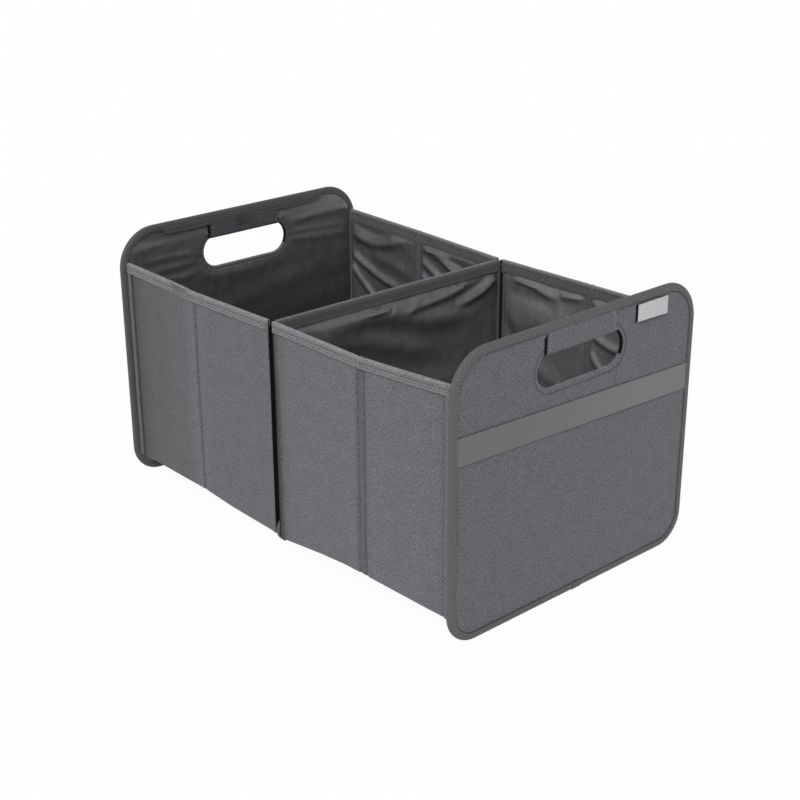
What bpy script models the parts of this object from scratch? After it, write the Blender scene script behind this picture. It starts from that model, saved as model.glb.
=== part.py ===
# Folding storage box with two compartments, in metres, +Z up.
# The divider stands over the origin, the two ends face +X (right) and -X (left), and the
# front wall faces -Y. Each side wall is four stiff halves. They crease inwards in pairs,
# so each end travels in to the divider and the box folds flat.

import math

import bmesh
import bpy
from mathutils import Vector

MM = 0.001

# The open box, over the ends' binding.
LENGTH = 500 * MM
WIDTH = 320 * MM
HEIGHT = 275 * MM

# Sheet thicknesses, and the clearance between layers that are sewn together.
END_BOARD = 2.0 * MM
DIVIDER_BOARD = 2.0 * MM
WALL_BOARD = 1.6 * MM
CLOTH = 0.5 * MM
LINING = 0.4 * MM
TAPE = 1.0 * MM
HEM_TAPE = 0.6 * MM
LAYER_GAP = 0.3 * MM

# End panels: corner radii, depth of the binding and the handle slot.
END_LOW_RADIUS = 32 * MM
END_HIGH_RADIUS = 42 * MM
END_BINDING_DEPTH = 7 * MM
SLOT_LENGTH = 112 * MM
SLOT_HEIGHT = 36 * MM
SLOT_BELOW_TOP = 25 * MM

# Cloth wrap round the grip over the slot, which stops short of the slot's round ends.
WRAP_CLOTH = 0.8 * MM
WRAP_PAD = 1.6 * MM
WRAP_SHORT_OF_SLOT = 10 * MM

# Elastic strap across the right end, a little lower at the rear, and the blank label tab.
STRAP_WIDTH = 26 * MM
STRAP_THICKNESS = 1.0 * MM
STRAP_FRONT_HEIGHT = 187 * MM
STRAP_REAR_HEIGHT = 176 * MM
LABEL_WIDTH = 43 * MM
LABEL_HEIGHT = 18 * MM
LABEL_THICKNESS = 0.8 * MM
LABEL_BELOW_TOP = 9 * MM
LABEL_FROM_REAR_EDGE = 64 * MM

# Side walls and the divider between them.
WALL_BELOW_END_TOP = 34.5 * MM
WALL_FOOT = 20 * MM
WALL_SETBACK = 5.5 * MM
WALL_END_GAP = 1.5 * MM
CREASE_SLIT = 0.5 * MM
HEM_OUTSIDE_DEPTH = 11 * MM
HEM_INSIDE_DEPTH = 14 * MM
DIVIDER_LOW_RADIUS = 12 * MM
DIVIDER_HIGH_RADIUS = 6 * MM
DIVIDER_BINDING_DEPTH = 12 * MM

# Clearances that the folded pack needs between its sheets.
FOLD_GAP = 0.4 * MM
CREASE_GAP = 0.3 * MM

# Floor of each compartment: a sewn mat, over outer cloth that hangs clear of the ground
# and slopes up to the walls' feet.
MAT_THICKNESS = 3.5 * MM
MAT_END_GAP = 9 * MM
MAT_CORNER_RADIUS = 8 * MM
MAT_OVER_CLOTH = 0.6 * MM
FLOOR_CLOTH_LIFT = 9 * MM
FLOOR_CLOTH_SLOPE_WIDTH = 22 * MM
FLOOR_CLOTH_TURN = 3 * MM
FLOOR_CLOTH_END_GAP = 0.5 * MM

CORNER_STEPS = 8
SIDES = {"right": 1, "left": -1}
WALLS = {"front": -1, "rear": 1}

# Depths of the stacks, from the sheets in them.
RIM = TAPE + LAYER_GAP
HEM_RIM = HEM_TAPE + LAYER_GAP
END_STACK = CLOTH + END_BOARD + LINING + 2 * LAYER_GAP
WALL_STACK = CLOTH + WALL_BOARD + LINING + 2 * LAYER_GAP
DIVIDER_HALF_STACK = DIVIDER_BOARD / 2 + LAYER_GAP + LINING
DIVIDER_FACE = DIVIDER_HALF_STACK + RIM

# Faces and hinge lines, for the +X and +Y quarter.
WALL_TOP = HEIGHT - WALL_BELOW_END_TOP
END_OUTER_FACE = LENGTH / 2
END_CLOTH_FACE = END_OUTER_FACE - RIM
END_INNER_FACE = END_OUTER_FACE - 2 * RIM - END_STACK
WALL_OUTER_FACE = WIDTH / 2 - WALL_SETBACK
WALL_INNER_FACE = WALL_OUTER_FACE - WALL_STACK
DIVIDER_HINGE_X = DIVIDER_FACE + 2 * FOLD_GAP + MAT_THICKNESS + HEM_RIM
END_HINGE_X = END_INNER_FACE - FOLD_GAP - HEM_RIM
CREASE_X = (DIVIDER_HINGE_X + END_HINGE_X) / 2
HINGE_Y = WALL_INNER_FACE
CREASE_Y = WALL_OUTER_FACE + HEM_RIM + CREASE_GAP

# The floor's heights. The mat covers the flat middle of the cloth under it.
FLOOR_CLOTH_TOP = WALL_FOOT - LAYER_GAP
FLOOR_CLOTH_FLAT = WALL_OUTER_FACE - FLOOR_CLOTH_TURN - FLOOR_CLOTH_SLOPE_WIDTH
MAT_LOW = FLOOR_CLOTH_LIFT + CLOTH + MAT_OVER_CLOTH
MAT_HIGH = MAT_LOW + MAT_THICKNESS
MAT_HINGE_X = DIVIDER_FACE + FOLD_GAP
MAT_HALF_WIDTH = FLOOR_CLOTH_FLAT

# The handle slot and its wrap.
SLOT_TOP = HEIGHT - SLOT_BELOW_TOP
SLOT_RADIUS = SLOT_HEIGHT / 2
SLOT_CENTRE_Z = SLOT_TOP - SLOT_RADIUS
SLOT_ARC_Y = SLOT_LENGTH / 2 - SLOT_RADIUS
WRAP_HALF_LENGTH = SLOT_LENGTH / 2 - WRAP_SHORT_OF_SLOT
WRAP_PAST_ARC = max(0.0, WRAP_HALF_LENGTH - SLOT_ARC_Y)
WRAP_SEAT = SLOT_CENTRE_Z + math.sqrt(SLOT_RADIUS ** 2 - WRAP_PAST_ARC ** 2) - LAYER_GAP
WRAP_TOP = HEIGHT - END_BINDING_DEPTH - LAYER_GAP

COLOURS = {
    "outer_cloth": ((0.118, 0.112, 0.125, 1), 0.85),
    "binding_tape": ((0.090, 0.088, 0.090, 1), 0.80),
    "lining": ((0.020, 0.019, 0.021, 1), 0.42),
    "board": ((0.300, 0.290, 0.270, 1), 0.90),
    "elastic_strap": ((0.140, 0.138, 0.134, 1), 0.75),
    "label_tape": ((0.520, 0.520, 0.530, 1), 0.60),
}


def clear_scene():
    for obj in list(bpy.data.objects):
        bpy.data.objects.remove(obj, do_unlink=True)


def make_material(node, finish):
    """One material for each node, in the colour and roughness of its finish."""
    colour, roughness = COLOURS[finish]
    material = bpy.data.materials.new(node)
    material.use_nodes = True
    shader = material.node_tree.nodes["Principled BSDF"]
    shader.inputs["Base Color"].default_value = colour
    shader.inputs["Roughness"].default_value = roughness
    shader.inputs["Metallic"].default_value = 0.0
    return material


def make_axis(name, x, y, z=0.0, parent=None):
    """An empty on a joint's axis, in world coordinates, under the axis it is carried by."""
    axis = bpy.data.objects.new(name, None)
    bpy.context.scene.collection.objects.link(axis)
    place = Vector((x, y, z))
    axis["place"] = place
    if parent:
        axis.parent = parent
        place = place - Vector(parent["place"])
    axis.location = place
    return axis


def make_object(name, bm, finish, mirror=(1, 1), axis=None):
    """A closed solid, modelled in the +X +Y quarter and mirrored to its place."""
    bmesh.ops.scale(bm, vec=(mirror[0], mirror[1], 1), verts=bm.verts)
    if axis:
        bmesh.ops.translate(bm, vec=-Vector(axis["place"]), verts=bm.verts)
    bmesh.ops.recalc_face_normals(bm, faces=bm.faces)
    mesh = bpy.data.meshes.new(name)
    bm.to_mesh(mesh)
    bm.free()
    obj = bpy.data.objects.new(name, mesh)
    bpy.context.scene.collection.objects.link(obj)
    obj.parent = axis
    if finish:
        mesh.materials.append(make_material(name, finish))
    mesh.shade_smooth()
    mesh.set_sharp_from_angle(angle=math.radians(30))
    return obj


def prism(points, along, low, high):
    """A bmesh solid: a flat outline carried straight along X (0), Y (1) or Z (2)."""
    bm = bmesh.new()
    rings = []
    for level in (low, high):
        ring = []
        for a, b in points:
            corner = [a, b]
            corner.insert(along, level)
            ring.append(bm.verts.new(corner))
        rings.append(ring)
    bm.faces.new(rings[0])
    bm.faces.new(list(reversed(rings[1])))
    count = len(points)
    for i in range(count):
        j = (i + 1) % count
        bm.faces.new((rings[0][i], rings[1][i], rings[1][j], rings[0][j]))
    return bm


def box(x, y, z):
    return prism([(y[0], z[0]), (y[1], z[0]), (y[1], z[1]), (y[0], z[1])], 0, x[0], x[1])


def arc(centre, radius, start, end, steps):
    """Points on an arc, with its angles in degrees."""
    points = []
    for i in range(steps + 1):
        turn = math.radians(start + (end - start) * i / steps)
        points.append((centre[0] + radius * math.cos(turn), centre[1] + radius * math.sin(turn)))
    return points


def panel_outline(half_width, low, high, low_radius, high_radius, inset=0.0):
    """Outline of an upright panel in Y and Z, drawn in by an inset, corners and all."""
    half_width -= inset
    low += inset
    high -= inset
    low_radius = max(low_radius - inset, LAYER_GAP)
    high_radius = max(high_radius - inset, LAYER_GAP)
    low_y, low_z = half_width - low_radius, low + low_radius
    high_y, high_z = half_width - high_radius, high - high_radius
    return (
        arc((low_y, low_z), low_radius, -90, 0, CORNER_STEPS)
        + arc((high_y, high_z), high_radius, 0, 90, CORNER_STEPS)
        + arc((-high_y, high_z), high_radius, 90, 180, CORNER_STEPS)
        + arc((-low_y, low_z), low_radius, 180, 270, CORNER_STEPS)
    )


def end_outline(inset):
    return panel_outline(WIDTH / 2, 0.0, HEIGHT, END_LOW_RADIUS, END_HIGH_RADIUS, inset)


def divider_outline(inset):
    return panel_outline(WALL_OUTER_FACE, 0.0, WALL_TOP, DIVIDER_LOW_RADIUS, DIVIDER_HIGH_RADIUS, inset)


def folded_tape(outline, low, high, depth):
    """Binding tape folded over a panel's edge: a U section carried round the outline."""
    section = [
        (low, 0.0), (high, 0.0), (high, depth), (high - TAPE, depth),
        (high - TAPE, TAPE), (low + TAPE, TAPE), (low + TAPE, depth), (low, depth),
    ]
    bm = bmesh.new()
    loops = [[bm.verts.new((x, y, z)) for y, z in outline(inset)] for x, inset in section]
    count = len(loops[0])
    for a, b in zip(loops, loops[1:] + loops[:1]):
        for i in range(count):
            j = (i + 1) % count
            bm.faces.new((a[i], a[j], b[j], b[i]))
    return bm


def slot_cutter(name, mirror, axis):
    """The handle slot, with round ends, as a cutter through an end panel."""
    outline = (
        arc((SLOT_ARC_Y, SLOT_CENTRE_Z), SLOT_RADIUS, -90, 90, 2 * CORNER_STEPS)
        + arc((-SLOT_ARC_Y, SLOT_CENTRE_Z), SLOT_RADIUS, 90, 270, 2 * CORNER_STEPS)
    )
    solid = prism(outline, 0, END_INNER_FACE - RIM, END_OUTER_FACE + RIM)
    cutter = make_object(name, solid, None, mirror, axis)
    cutter.hide_render = True
    cutter.display_type = "WIRE"
    return cutter


def cut(obj, cutter):
    boolean = obj.modifiers.new("handle_slot", "BOOLEAN")
    boolean.operation = "DIFFERENCE"
    boolean.solver = "EXACT"
    boolean.object = cutter


def make_end(side, axis):
    """An end panel: cloth, board and lining with one slot, bound at the edge, and its wrap."""
    mirror = (SIDES[side], 1)
    cutter = slot_cutter(f"{side}_slot_cutter", mirror, axis)
    outer = END_CLOTH_FACE
    for layer, thickness, finish in (
        ("cloth", CLOTH, "outer_cloth"), ("board", END_BOARD, "board"), ("lining", LINING, "lining"),
    ):
        solid = prism(end_outline(RIM), 0, outer - thickness, outer)
        cut(make_object(f"{side}_end_{layer}", solid, finish, mirror, axis), cutter)
        outer -= thickness + LAYER_GAP
    tape = folded_tape(end_outline, END_INNER_FACE, END_OUTER_FACE, END_BINDING_DEPTH)
    make_object(f"{side}_end_binding", tape, "binding_tape", mirror, axis)
    make_handle_wrap(side, mirror, axis)


def make_handle_wrap(side, mirror, axis):
    """A U of doubled cloth that hugs both faces of the grip and closes under it."""
    inside = END_INNER_FACE + TAPE
    outside = END_CLOTH_FACE + LAYER_GAP
    section = [
        (inside - WRAP_CLOTH, WRAP_TOP), (inside, WRAP_TOP), (inside, WRAP_SEAT), (outside, WRAP_SEAT),
        (outside, WRAP_TOP), (outside + WRAP_CLOTH, WRAP_TOP),
        (outside + WRAP_CLOTH, WRAP_SEAT - WRAP_PAD), (inside - WRAP_CLOTH, WRAP_SEAT - WRAP_PAD),
    ]
    solid = prism(section, 1, -WRAP_HALF_LENGTH, WRAP_HALF_LENGTH)
    make_object(f"{side}_handle_wrap", solid, "outer_cloth", mirror, axis)


def make_strap_and_label(axis):
    """The elastic strap between the right end's bindings, and the blank tab over it."""
    face = END_CLOTH_FACE + LAYER_GAP
    half_span = WIDTH / 2 - END_BINDING_DEPTH - LAYER_GAP
    half_strap = STRAP_WIDTH / 2
    strap = [
        (-half_span, STRAP_FRONT_HEIGHT - half_strap), (half_span, STRAP_REAR_HEIGHT - half_strap),
        (half_span, STRAP_REAR_HEIGHT + half_strap), (-half_span, STRAP_FRONT_HEIGHT + half_strap),
    ]
    make_object("elastic_strap", prism(strap, 0, face, face + STRAP_THICKNESS), "elastic_strap", axis=axis)
    label_y = WIDTH / 2 - LABEL_FROM_REAR_EDGE
    label_top = HEIGHT - LABEL_BELOW_TOP
    label = box(
        (face, face + LABEL_THICKNESS),
        (label_y - LABEL_WIDTH / 2, label_y + LABEL_WIDTH / 2),
        (label_top - LABEL_HEIGHT, label_top),
    )
    make_object("label_tab", label, "label_tape", axis=axis)


def make_wall_half(name, x, mirror, axis):
    """Half of a side wall: lining, board and cloth from the inside out, hemmed at the top."""
    y = WALL_INNER_FACE
    for layer, thickness, finish in (
        ("lining", LINING, "lining"), ("board", WALL_BOARD, "board"), ("cloth", CLOTH, "outer_cloth"),
    ):
        solid = box(x, (y, y + thickness), (WALL_FOOT, WALL_TOP - HEM_RIM))
        make_object(f"{name}_{layer}", solid, finish, mirror, axis)
        y += thickness + LAYER_GAP
    inside = WALL_INNER_FACE - HEM_RIM
    outside = WALL_OUTER_FACE + HEM_RIM
    section = [
        (inside, WALL_TOP), (outside, WALL_TOP), (outside, WALL_TOP - HEM_OUTSIDE_DEPTH),
        (outside - HEM_TAPE, WALL_TOP - HEM_OUTSIDE_DEPTH), (outside - HEM_TAPE, WALL_TOP - HEM_TAPE),
        (inside + HEM_TAPE, WALL_TOP - HEM_TAPE), (inside + HEM_TAPE, WALL_TOP - HEM_INSIDE_DEPTH),
        (inside, WALL_TOP - HEM_INSIDE_DEPTH),
    ]
    make_object(f"{name}_hem", prism(section, 0, x[0], x[1]), "outer_cloth", mirror, axis)


def make_divider():
    """The upright divider, lined on both faces and bound all round."""
    half = DIVIDER_BOARD / 2
    make_object("divider_board", prism(divider_outline(RIM), 0, -half, half), "board")
    for side, sign in SIDES.items():
        lining = prism(divider_outline(RIM), 0, half + LAYER_GAP, DIVIDER_HALF_STACK)
        make_object(f"divider_{side}_lining", lining, "lining", (sign, 1))
    tape = folded_tape(divider_outline, -DIVIDER_FACE, DIVIDER_FACE, DIVIDER_BINDING_DEPTH)
    make_object("divider_binding", tape, "binding_tape")


def floor_cloth_side(inset):
    """Half of the outer cloth's section: down from the wall's foot, in, and along the floor."""
    turn = FLOOR_CLOTH_TURN
    centre = (WALL_OUTER_FACE - turn, FLOOR_CLOTH_TOP)
    bend = arc(centre, turn - inset, 0, -60, CORNER_STEPS // 2)
    return bend + [(FLOOR_CLOTH_FLAT, FLOOR_CLOTH_LIFT + inset)]


def make_floor(side):
    """A compartment's sewn mat on its lift hinge, and the outer cloth that runs under it."""
    mirror = (SIDES[side], 1)
    axis = make_axis(f"{side}_floor_lift_axis", SIDES[side] * MAT_HINGE_X, 0.0, MAT_HIGH)
    near, far = MAT_HINGE_X + LAYER_GAP, END_INNER_FACE - MAT_END_GAP
    radius, wide = MAT_CORNER_RADIUS, MAT_HALF_WIDTH
    outline = (
        arc((far - radius, -wide + radius), radius, -90, 0, CORNER_STEPS)
        + arc((far - radius, wide - radius), radius, 0, 90, CORNER_STEPS)
        + arc((near + radius, wide - radius), radius, 90, 180, CORNER_STEPS)
        + arc((near + radius, -wide + radius), radius, 180, 270, CORNER_STEPS)
    )
    make_object(f"{side}_floor_mat", prism(outline, 2, MAT_LOW, MAT_HIGH), "lining", mirror, axis)

    under = floor_cloth_side(0.0)
    over = floor_cloth_side(CLOTH)
    outline = under + [(-y, z) for y, z in reversed(under)] + [(-y, z) for y, z in over] + over[::-1]
    ends = (DIVIDER_FACE + FLOOR_CLOTH_END_GAP, END_INNER_FACE - FLOOR_CLOTH_END_GAP)
    make_object(f"{side}_floor_cloth", prism(outline, 0, *ends), "outer_cloth", mirror)


def make_compartment(side):
    """The walls and end of one compartment, each on the axis that it folds about."""
    sign = SIDES[side]
    divider_half = (DIVIDER_FACE + WALL_END_GAP, CREASE_X - CREASE_SLIT / 2)
    end_half = (CREASE_X + CREASE_SLIT / 2, END_INNER_FACE - WALL_END_GAP)
    for wall, outward in WALLS.items():
        mirror = (sign, outward)
        hinge = make_axis(f"{side}_{wall}_hinge_axis", sign * DIVIDER_HINGE_X, outward * HINGE_Y)
        crease = make_axis(f"{side}_{wall}_crease_axis", sign * CREASE_X, outward * CREASE_Y, parent=hinge)
        make_wall_half(f"{side}_{wall}_divider_half", divider_half, mirror, hinge)
        make_wall_half(f"{side}_{wall}_end_half", end_half, mirror, crease)
        if wall == "front":
            end_axis = make_axis(f"{side}_end_axis", sign * END_HINGE_X, outward * HINGE_Y, parent=crease)
            make_end(side, end_axis)
            if side == "right":
                make_strap_and_label(end_axis)
    make_floor(side)


def main():
    clear_scene()
    make_divider()
    for side in SIDES:
        make_compartment(side)


main()
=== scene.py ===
import math

import bpy
import numpy as np
from mathutils import Matrix, Vector


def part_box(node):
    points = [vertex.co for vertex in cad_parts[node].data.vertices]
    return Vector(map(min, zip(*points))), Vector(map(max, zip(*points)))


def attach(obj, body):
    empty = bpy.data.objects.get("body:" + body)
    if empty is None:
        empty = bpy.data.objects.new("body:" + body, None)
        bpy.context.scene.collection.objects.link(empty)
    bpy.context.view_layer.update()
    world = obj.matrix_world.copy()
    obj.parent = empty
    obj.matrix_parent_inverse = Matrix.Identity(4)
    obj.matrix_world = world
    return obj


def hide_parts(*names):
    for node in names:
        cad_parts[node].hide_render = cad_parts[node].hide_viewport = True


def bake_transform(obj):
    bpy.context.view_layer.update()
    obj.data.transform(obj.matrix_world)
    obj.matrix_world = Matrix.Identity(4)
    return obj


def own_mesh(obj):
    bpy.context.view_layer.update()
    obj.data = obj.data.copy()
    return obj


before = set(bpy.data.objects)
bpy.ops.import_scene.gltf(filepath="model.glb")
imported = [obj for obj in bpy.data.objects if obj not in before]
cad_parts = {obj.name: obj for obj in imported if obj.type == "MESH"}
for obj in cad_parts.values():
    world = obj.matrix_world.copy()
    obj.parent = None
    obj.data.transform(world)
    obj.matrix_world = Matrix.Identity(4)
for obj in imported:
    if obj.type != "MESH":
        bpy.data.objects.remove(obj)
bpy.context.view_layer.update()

MM = 0.001
SIDES = {"right": 1, "left": -1}
WALLS = {"front": -1, "rear": 1}

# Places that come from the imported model, for the quarter of the box at +X and +Y.
END_TAPE_LOW, END_TAPE_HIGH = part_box("right_end_binding")
END_CLOTH_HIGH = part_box("right_end_cloth")[1]
END_LINING_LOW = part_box("right_end_lining")[0]
WRAP_LOW, WRAP_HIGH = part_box("right_handle_wrap")
STRAP_LOW, STRAP_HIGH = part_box("elastic_strap")
TAB_LOW, TAB_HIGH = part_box("label_tab")
CLOTH_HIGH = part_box("right_rear_divider_half_cloth")[1]
FAR_LOW, FAR_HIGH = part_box("right_rear_end_half_cloth")
LINING_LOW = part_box("right_rear_divider_half_lining")[0]
BOARD_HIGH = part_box("right_rear_divider_half_board")[1]
HEM_LOW, HEM_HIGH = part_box("right_rear_divider_half_hem")
DIVIDER_TAPE_LOW, DIVIDER_TAPE_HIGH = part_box("divider_binding")
DIVIDER_LINING_LOW, DIVIDER_LINING_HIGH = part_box("divider_right_lining")
DIVIDER_BOARD_LOW, DIVIDER_BOARD_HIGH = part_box("divider_board")
FLOOR_CLOTH_LOW, FLOOR_CLOTH_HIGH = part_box("right_floor_cloth")
MAT_LOW, MAT_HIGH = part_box("right_floor_mat")
CREASE_X = (CLOTH_HIGH.x + FAR_LOW.x) / 2

# The end panels' corners and the slot through them.
END_LOW_RADIUS = 32 * MM
END_HIGH_RADIUS = 42 * MM
END_TAPE_DEPTH = 7 * MM
SLOT_HALF_LENGTH = 56 * MM
SLOT_RADIUS = 18 * MM
SLOT_Z = 232 * MM
DIVIDER_LOW_RADIUS = 12 * MM
DIVIDER_HIGH_RADIUS = 6 * MM
DIVIDER_TAPE_DEPTH = 12 * MM
DIVIDER_LEG_SHARE = 0.38
DIVIDER_RECESS = 8 * MM
DIVIDER_TOP_RECESS = 4 * MM
DIVIDER_REAR_RECESS = 1 * MM
DIVIDER_FOOT_LIFT = 8.5 * MM
DIVIDER_FOLDED_HEIGHT = 208 * MM

# How the cloth hangs, in mm: the walls' foot, and how far their top stands over the hems' level,
# each at places counted from the divider.
FOOT_LINE = {
    "right": ((4.5, 14.5), (66, 21.4), (103, 24.2), (243, 24.6)),
    "left": ((3.2, 16.5), (10, 17.6), (75, 19.6), (125, 23.0), (243, 24.6)),
}
TOP_LINE = {
    ("right", "front"): ((4.5, 0.6), (128, -0.8), (193, 3.0), (243, 6.6)),
    ("left", "front"): ((4.5, 0.2), (125, -1.6), (155, 0.1), (243, 2.0)),
    ("right", "rear"): ((4.5, -3.0), (125, -2.2), (243, -2.0)),
    ("left", "rear"): ((4.5, -3.0), (125, 1.2), (243, 4.0)),
}
FOOT_TURN = 2.5 * MM
FOOT_CORNER = 1.5 * MM
NEAR_EDGE = {"right": 3.4 * MM, "left": 3.2 * MM}
DIVIDER_DROP_FRONT = 1.5 * MM
DIVIDER_DROP_REAR = 3.3 * MM

# The sewn channel over each crease: its middle past the crease, and its half-width.
CHANNELS = {"right": (4 * MM, 4.5 * MM), "left": (0 * MM, 3.4 * MM)}
WELT_HALF = 3.4 * MM
END_SEAM = {"right": 7.5 * MM, "left": 6.8 * MM}

# Thread and tape.
STITCH_PITCH = 3.3 * MM
STITCH_LENGTH = 2.5 * MM
THREAD = 0.34 * MM
RIB_PITCH = 3.6 * MM
RIB_HEIGHT = 0.22 * MM
RIB_SLANT = -1.5
STATIONS_PER_RIB = 4
TAPE_SEAMS = (3.4 * MM, 5.6 * MM)
SLOT_SEAM = 4.6 * MM
PANEL_MARGIN = 1.5 * MM
SHEET_THICKNESS = 0.4 * MM
LINING_THICKNESS = 0.3 * MM
WEB_HEIGHT = 220 * MM

# The camera, as fitted to the outline of the box.
CAMERA_AZIMUTH = 47.8974
CAMERA_ELEVATION = 22.2678
CAMERA_ROLL = -0.2476
CAMERA_EYE = (1.0510, -0.9407, 0.6954)
SENSOR = 36.0
PICTURE_WIDTH = 800
FOCAL_PIXELS = 1486.48

# The share of plain white in the floor that the camera sees, which thins the shadow.
FLOOR_GLOW = 0.95


def smooth(start, end, t):
    """0 up to start, 1 from end on, and an even rise between."""
    t = np.clip((t - start) / (end - start), 0, 1)
    return t * t * (3 - 2 * t)


def bell(t, centre, width):
    return np.exp(-((t - centre) / width) ** 2)


def unevenness(a, b, scale, seed, octaves=3):
    """Smooth, repeatable unevenness of a surface, about -1 to 1, from waves in all directions."""
    draw = np.random.default_rng(seed)
    total = np.zeros_like(a)
    for octave in range(octaves):
        for _ in range(6):
            heading, phase = draw.uniform(0, 2 * math.pi, 2)
            wave = scale * draw.uniform(0.7, 1.4) / 2 ** octave
            reach = a * math.cos(heading) + b * math.sin(heading)
            total += np.cos(2 * math.pi * reach / wave + phase) / 2 ** octave
    return total / 6


def deselect():
    bpy.ops.object.select_all(action="DESELECT")


def select_only(obj):
    deselect()
    obj.select_set(True)
    bpy.context.view_layer.objects.active = obj


def read_points(mesh):
    points = np.zeros(len(mesh.vertices) * 3)
    mesh.vertices.foreach_get("co", points)
    return points.reshape(-1, 3)


def write_points(mesh, points):
    mesh.vertices.foreach_set("co", np.ascontiguousarray(points, dtype=np.float32).ravel())
    mesh.update()


def points_at(x, y, z):
    """Rows of coordinates, from numbers or arrays."""
    return np.stack(np.broadcast_arrays(x, y, z), axis=1)


def edit_all(obj, operator, **settings):
    """One mesh operator, run on all of a piece in edit mode."""
    select_only(obj)
    bpy.ops.object.mode_set(mode="EDIT")
    bpy.ops.mesh.select_all(action="SELECT")
    operator(**settings)
    bpy.ops.object.mode_set(mode="OBJECT")


def apply_modifier(obj, kind, **settings):
    select_only(obj)
    modifier = obj.modifiers.new(kind.lower(), kind)
    for name, value in settings.items():
        setattr(modifier, name, value)
    bpy.ops.object.modifier_apply(modifier=modifier.name)


def finish_piece(obj, material, angle=50):
    select_only(obj)
    obj.data.materials.clear()
    obj.data.materials.append(material)
    bpy.ops.object.shade_smooth_by_angle(angle=math.radians(angle))
    return obj


def crowded(start, end, count, spots, reach=7 * MM, crowding=6):
    """count + 1 places from start to end, closer together near the spots."""
    fine = np.linspace(start, end, 4000)
    density = 1 + crowding * sum(bell(fine, spot, reach) for spot in spots)
    steps = np.concatenate([[0], np.cumsum((density[1:] + density[:-1]) / 2)])
    return np.interp(np.linspace(0, steps[-1], count + 1), steps, fine)


def rounded_line(line, rounds=2):
    """The line with its corners cut twice, so that it runs in a curve."""
    line = np.array(line, float)
    for _ in range(rounds):
        near = 0.75 * line[:-1] + 0.25 * line[1:]
        far = 0.25 * line[:-1] + 0.75 * line[1:]
        between = np.stack([near, far], axis=1).reshape(-1, 2)
        line = np.vstack([line[:1], between[1:-1], line[-1:]])
    return line


def fold(a, b, height, width, line):
    """Height of a soft fold along a line, fading out towards both of its ends."""
    line = rounded_line(line)
    steps = np.diff(line, axis=0)
    lengths = np.linalg.norm(steps, axis=1)
    reach = np.concatenate([[0], np.cumsum(lengths)]) / lengths.sum()
    nearest, share = np.full(a.shape, np.inf), np.zeros(a.shape)
    for k, (start, step) in enumerate(zip(line[:-1], steps)):
        t = np.clip(((a - start[0]) * step[0] + (b - start[1]) * step[1]) / lengths[k] ** 2, 0, 1)
        away = np.hypot(a - start[0] - t * step[0], b - start[1] - t * step[1])
        closer = away < nearest
        nearest = np.where(closer, away, nearest)
        share = np.where(closer, reach[k] + t * (reach[k + 1] - reach[k]), share)
    return height * bell(nearest, 0, width) * smooth(0, 0.2, share) * smooth(1, 0.7, share)


def all_folds(a, b, folds, size):
    """All folds of a panel at its shares (a, b), for a panel of this size."""
    total = np.zeros(np.broadcast(a, b).shape)
    for height, width, line in folds:
        places = [(x * size[0], z * size[1]) for x, z in line]
        total = total + fold(a * size[0], b * size[1], height * MM, width * MM, places)
    return total


def cloth(
    name, columns, rows, place, size, material, outward, thickness=SHEET_THICKNESS, probe=(0.5, 0.5),
    ring=False, laid=None,
):
    """A sheet made from a flat grid. place turns the grid's shares (u, v) into points, size is the
    cut's length and width for the UV map, laid gives places on the cut where they aren't even, and
    outward is where the face at probe looks."""
    deselect()
    bpy.ops.mesh.primitive_grid_add(x_subdivisions=columns, y_subdivisions=rows, size=1)
    sheet = bpy.context.object
    sheet.name = sheet.data.name = name
    mesh = sheet.data
    flat = read_points(mesh)
    u, v = flat[:, 0] + 0.5, flat[:, 1] + 0.5
    write_points(mesh, points_at(*place(u, v)))
    marks = mesh.uv_layers.active.data
    shares = np.zeros(len(marks) * 2)
    marks.foreach_get("uv", shares)
    shares = shares.reshape(-1, 2)
    uv = np.stack(laid(shares[:, 0], shares[:, 1]), axis=1) if laid else shares * np.array(size)
    marks.foreach_set("uv", uv.astype(np.float32).ravel())
    nearest = int(np.argmin((u - probe[0]) ** 2 + (v - probe[1]) ** 2))
    flip = mesh.vertices[nearest].normal.dot(Vector(outward)) < 0
    if ring:
        edit_all(sheet, bpy.ops.mesh.remove_doubles, threshold=1e-6)
    if flip:
        edit_all(sheet, bpy.ops.mesh.flip_normals)
    if thickness:
        apply_modifier(sheet, "SOLIDIFY", thickness=thickness, offset=-1.0, use_even_offset=True)
    return finish_piece(sheet, material)


def along(points, distances, closed):
    """Points and tangents at these distances along a polyline."""
    loop = np.vstack([points, points[:1]]) if closed else points
    reach = np.concatenate([[0], np.cumsum(np.linalg.norm(np.diff(loop, axis=0), axis=1))])
    spots = np.stack([np.interp(distances, reach, loop[:, i]) for i in range(3)], axis=1)
    segment = np.clip(np.searchsorted(reach, distances, side="right") - 1, 0, len(loop) - 2)
    tangents = (loop[1:] - loop[:-1])[segment]
    return spots, tangents / np.linalg.norm(tangents, axis=1)[:, None]


def path_length(points, closed=False):
    loop = np.vstack([points, points[:1]]) if closed else points
    return float(np.linalg.norm(np.diff(loop, axis=0), axis=1).sum())


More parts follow.
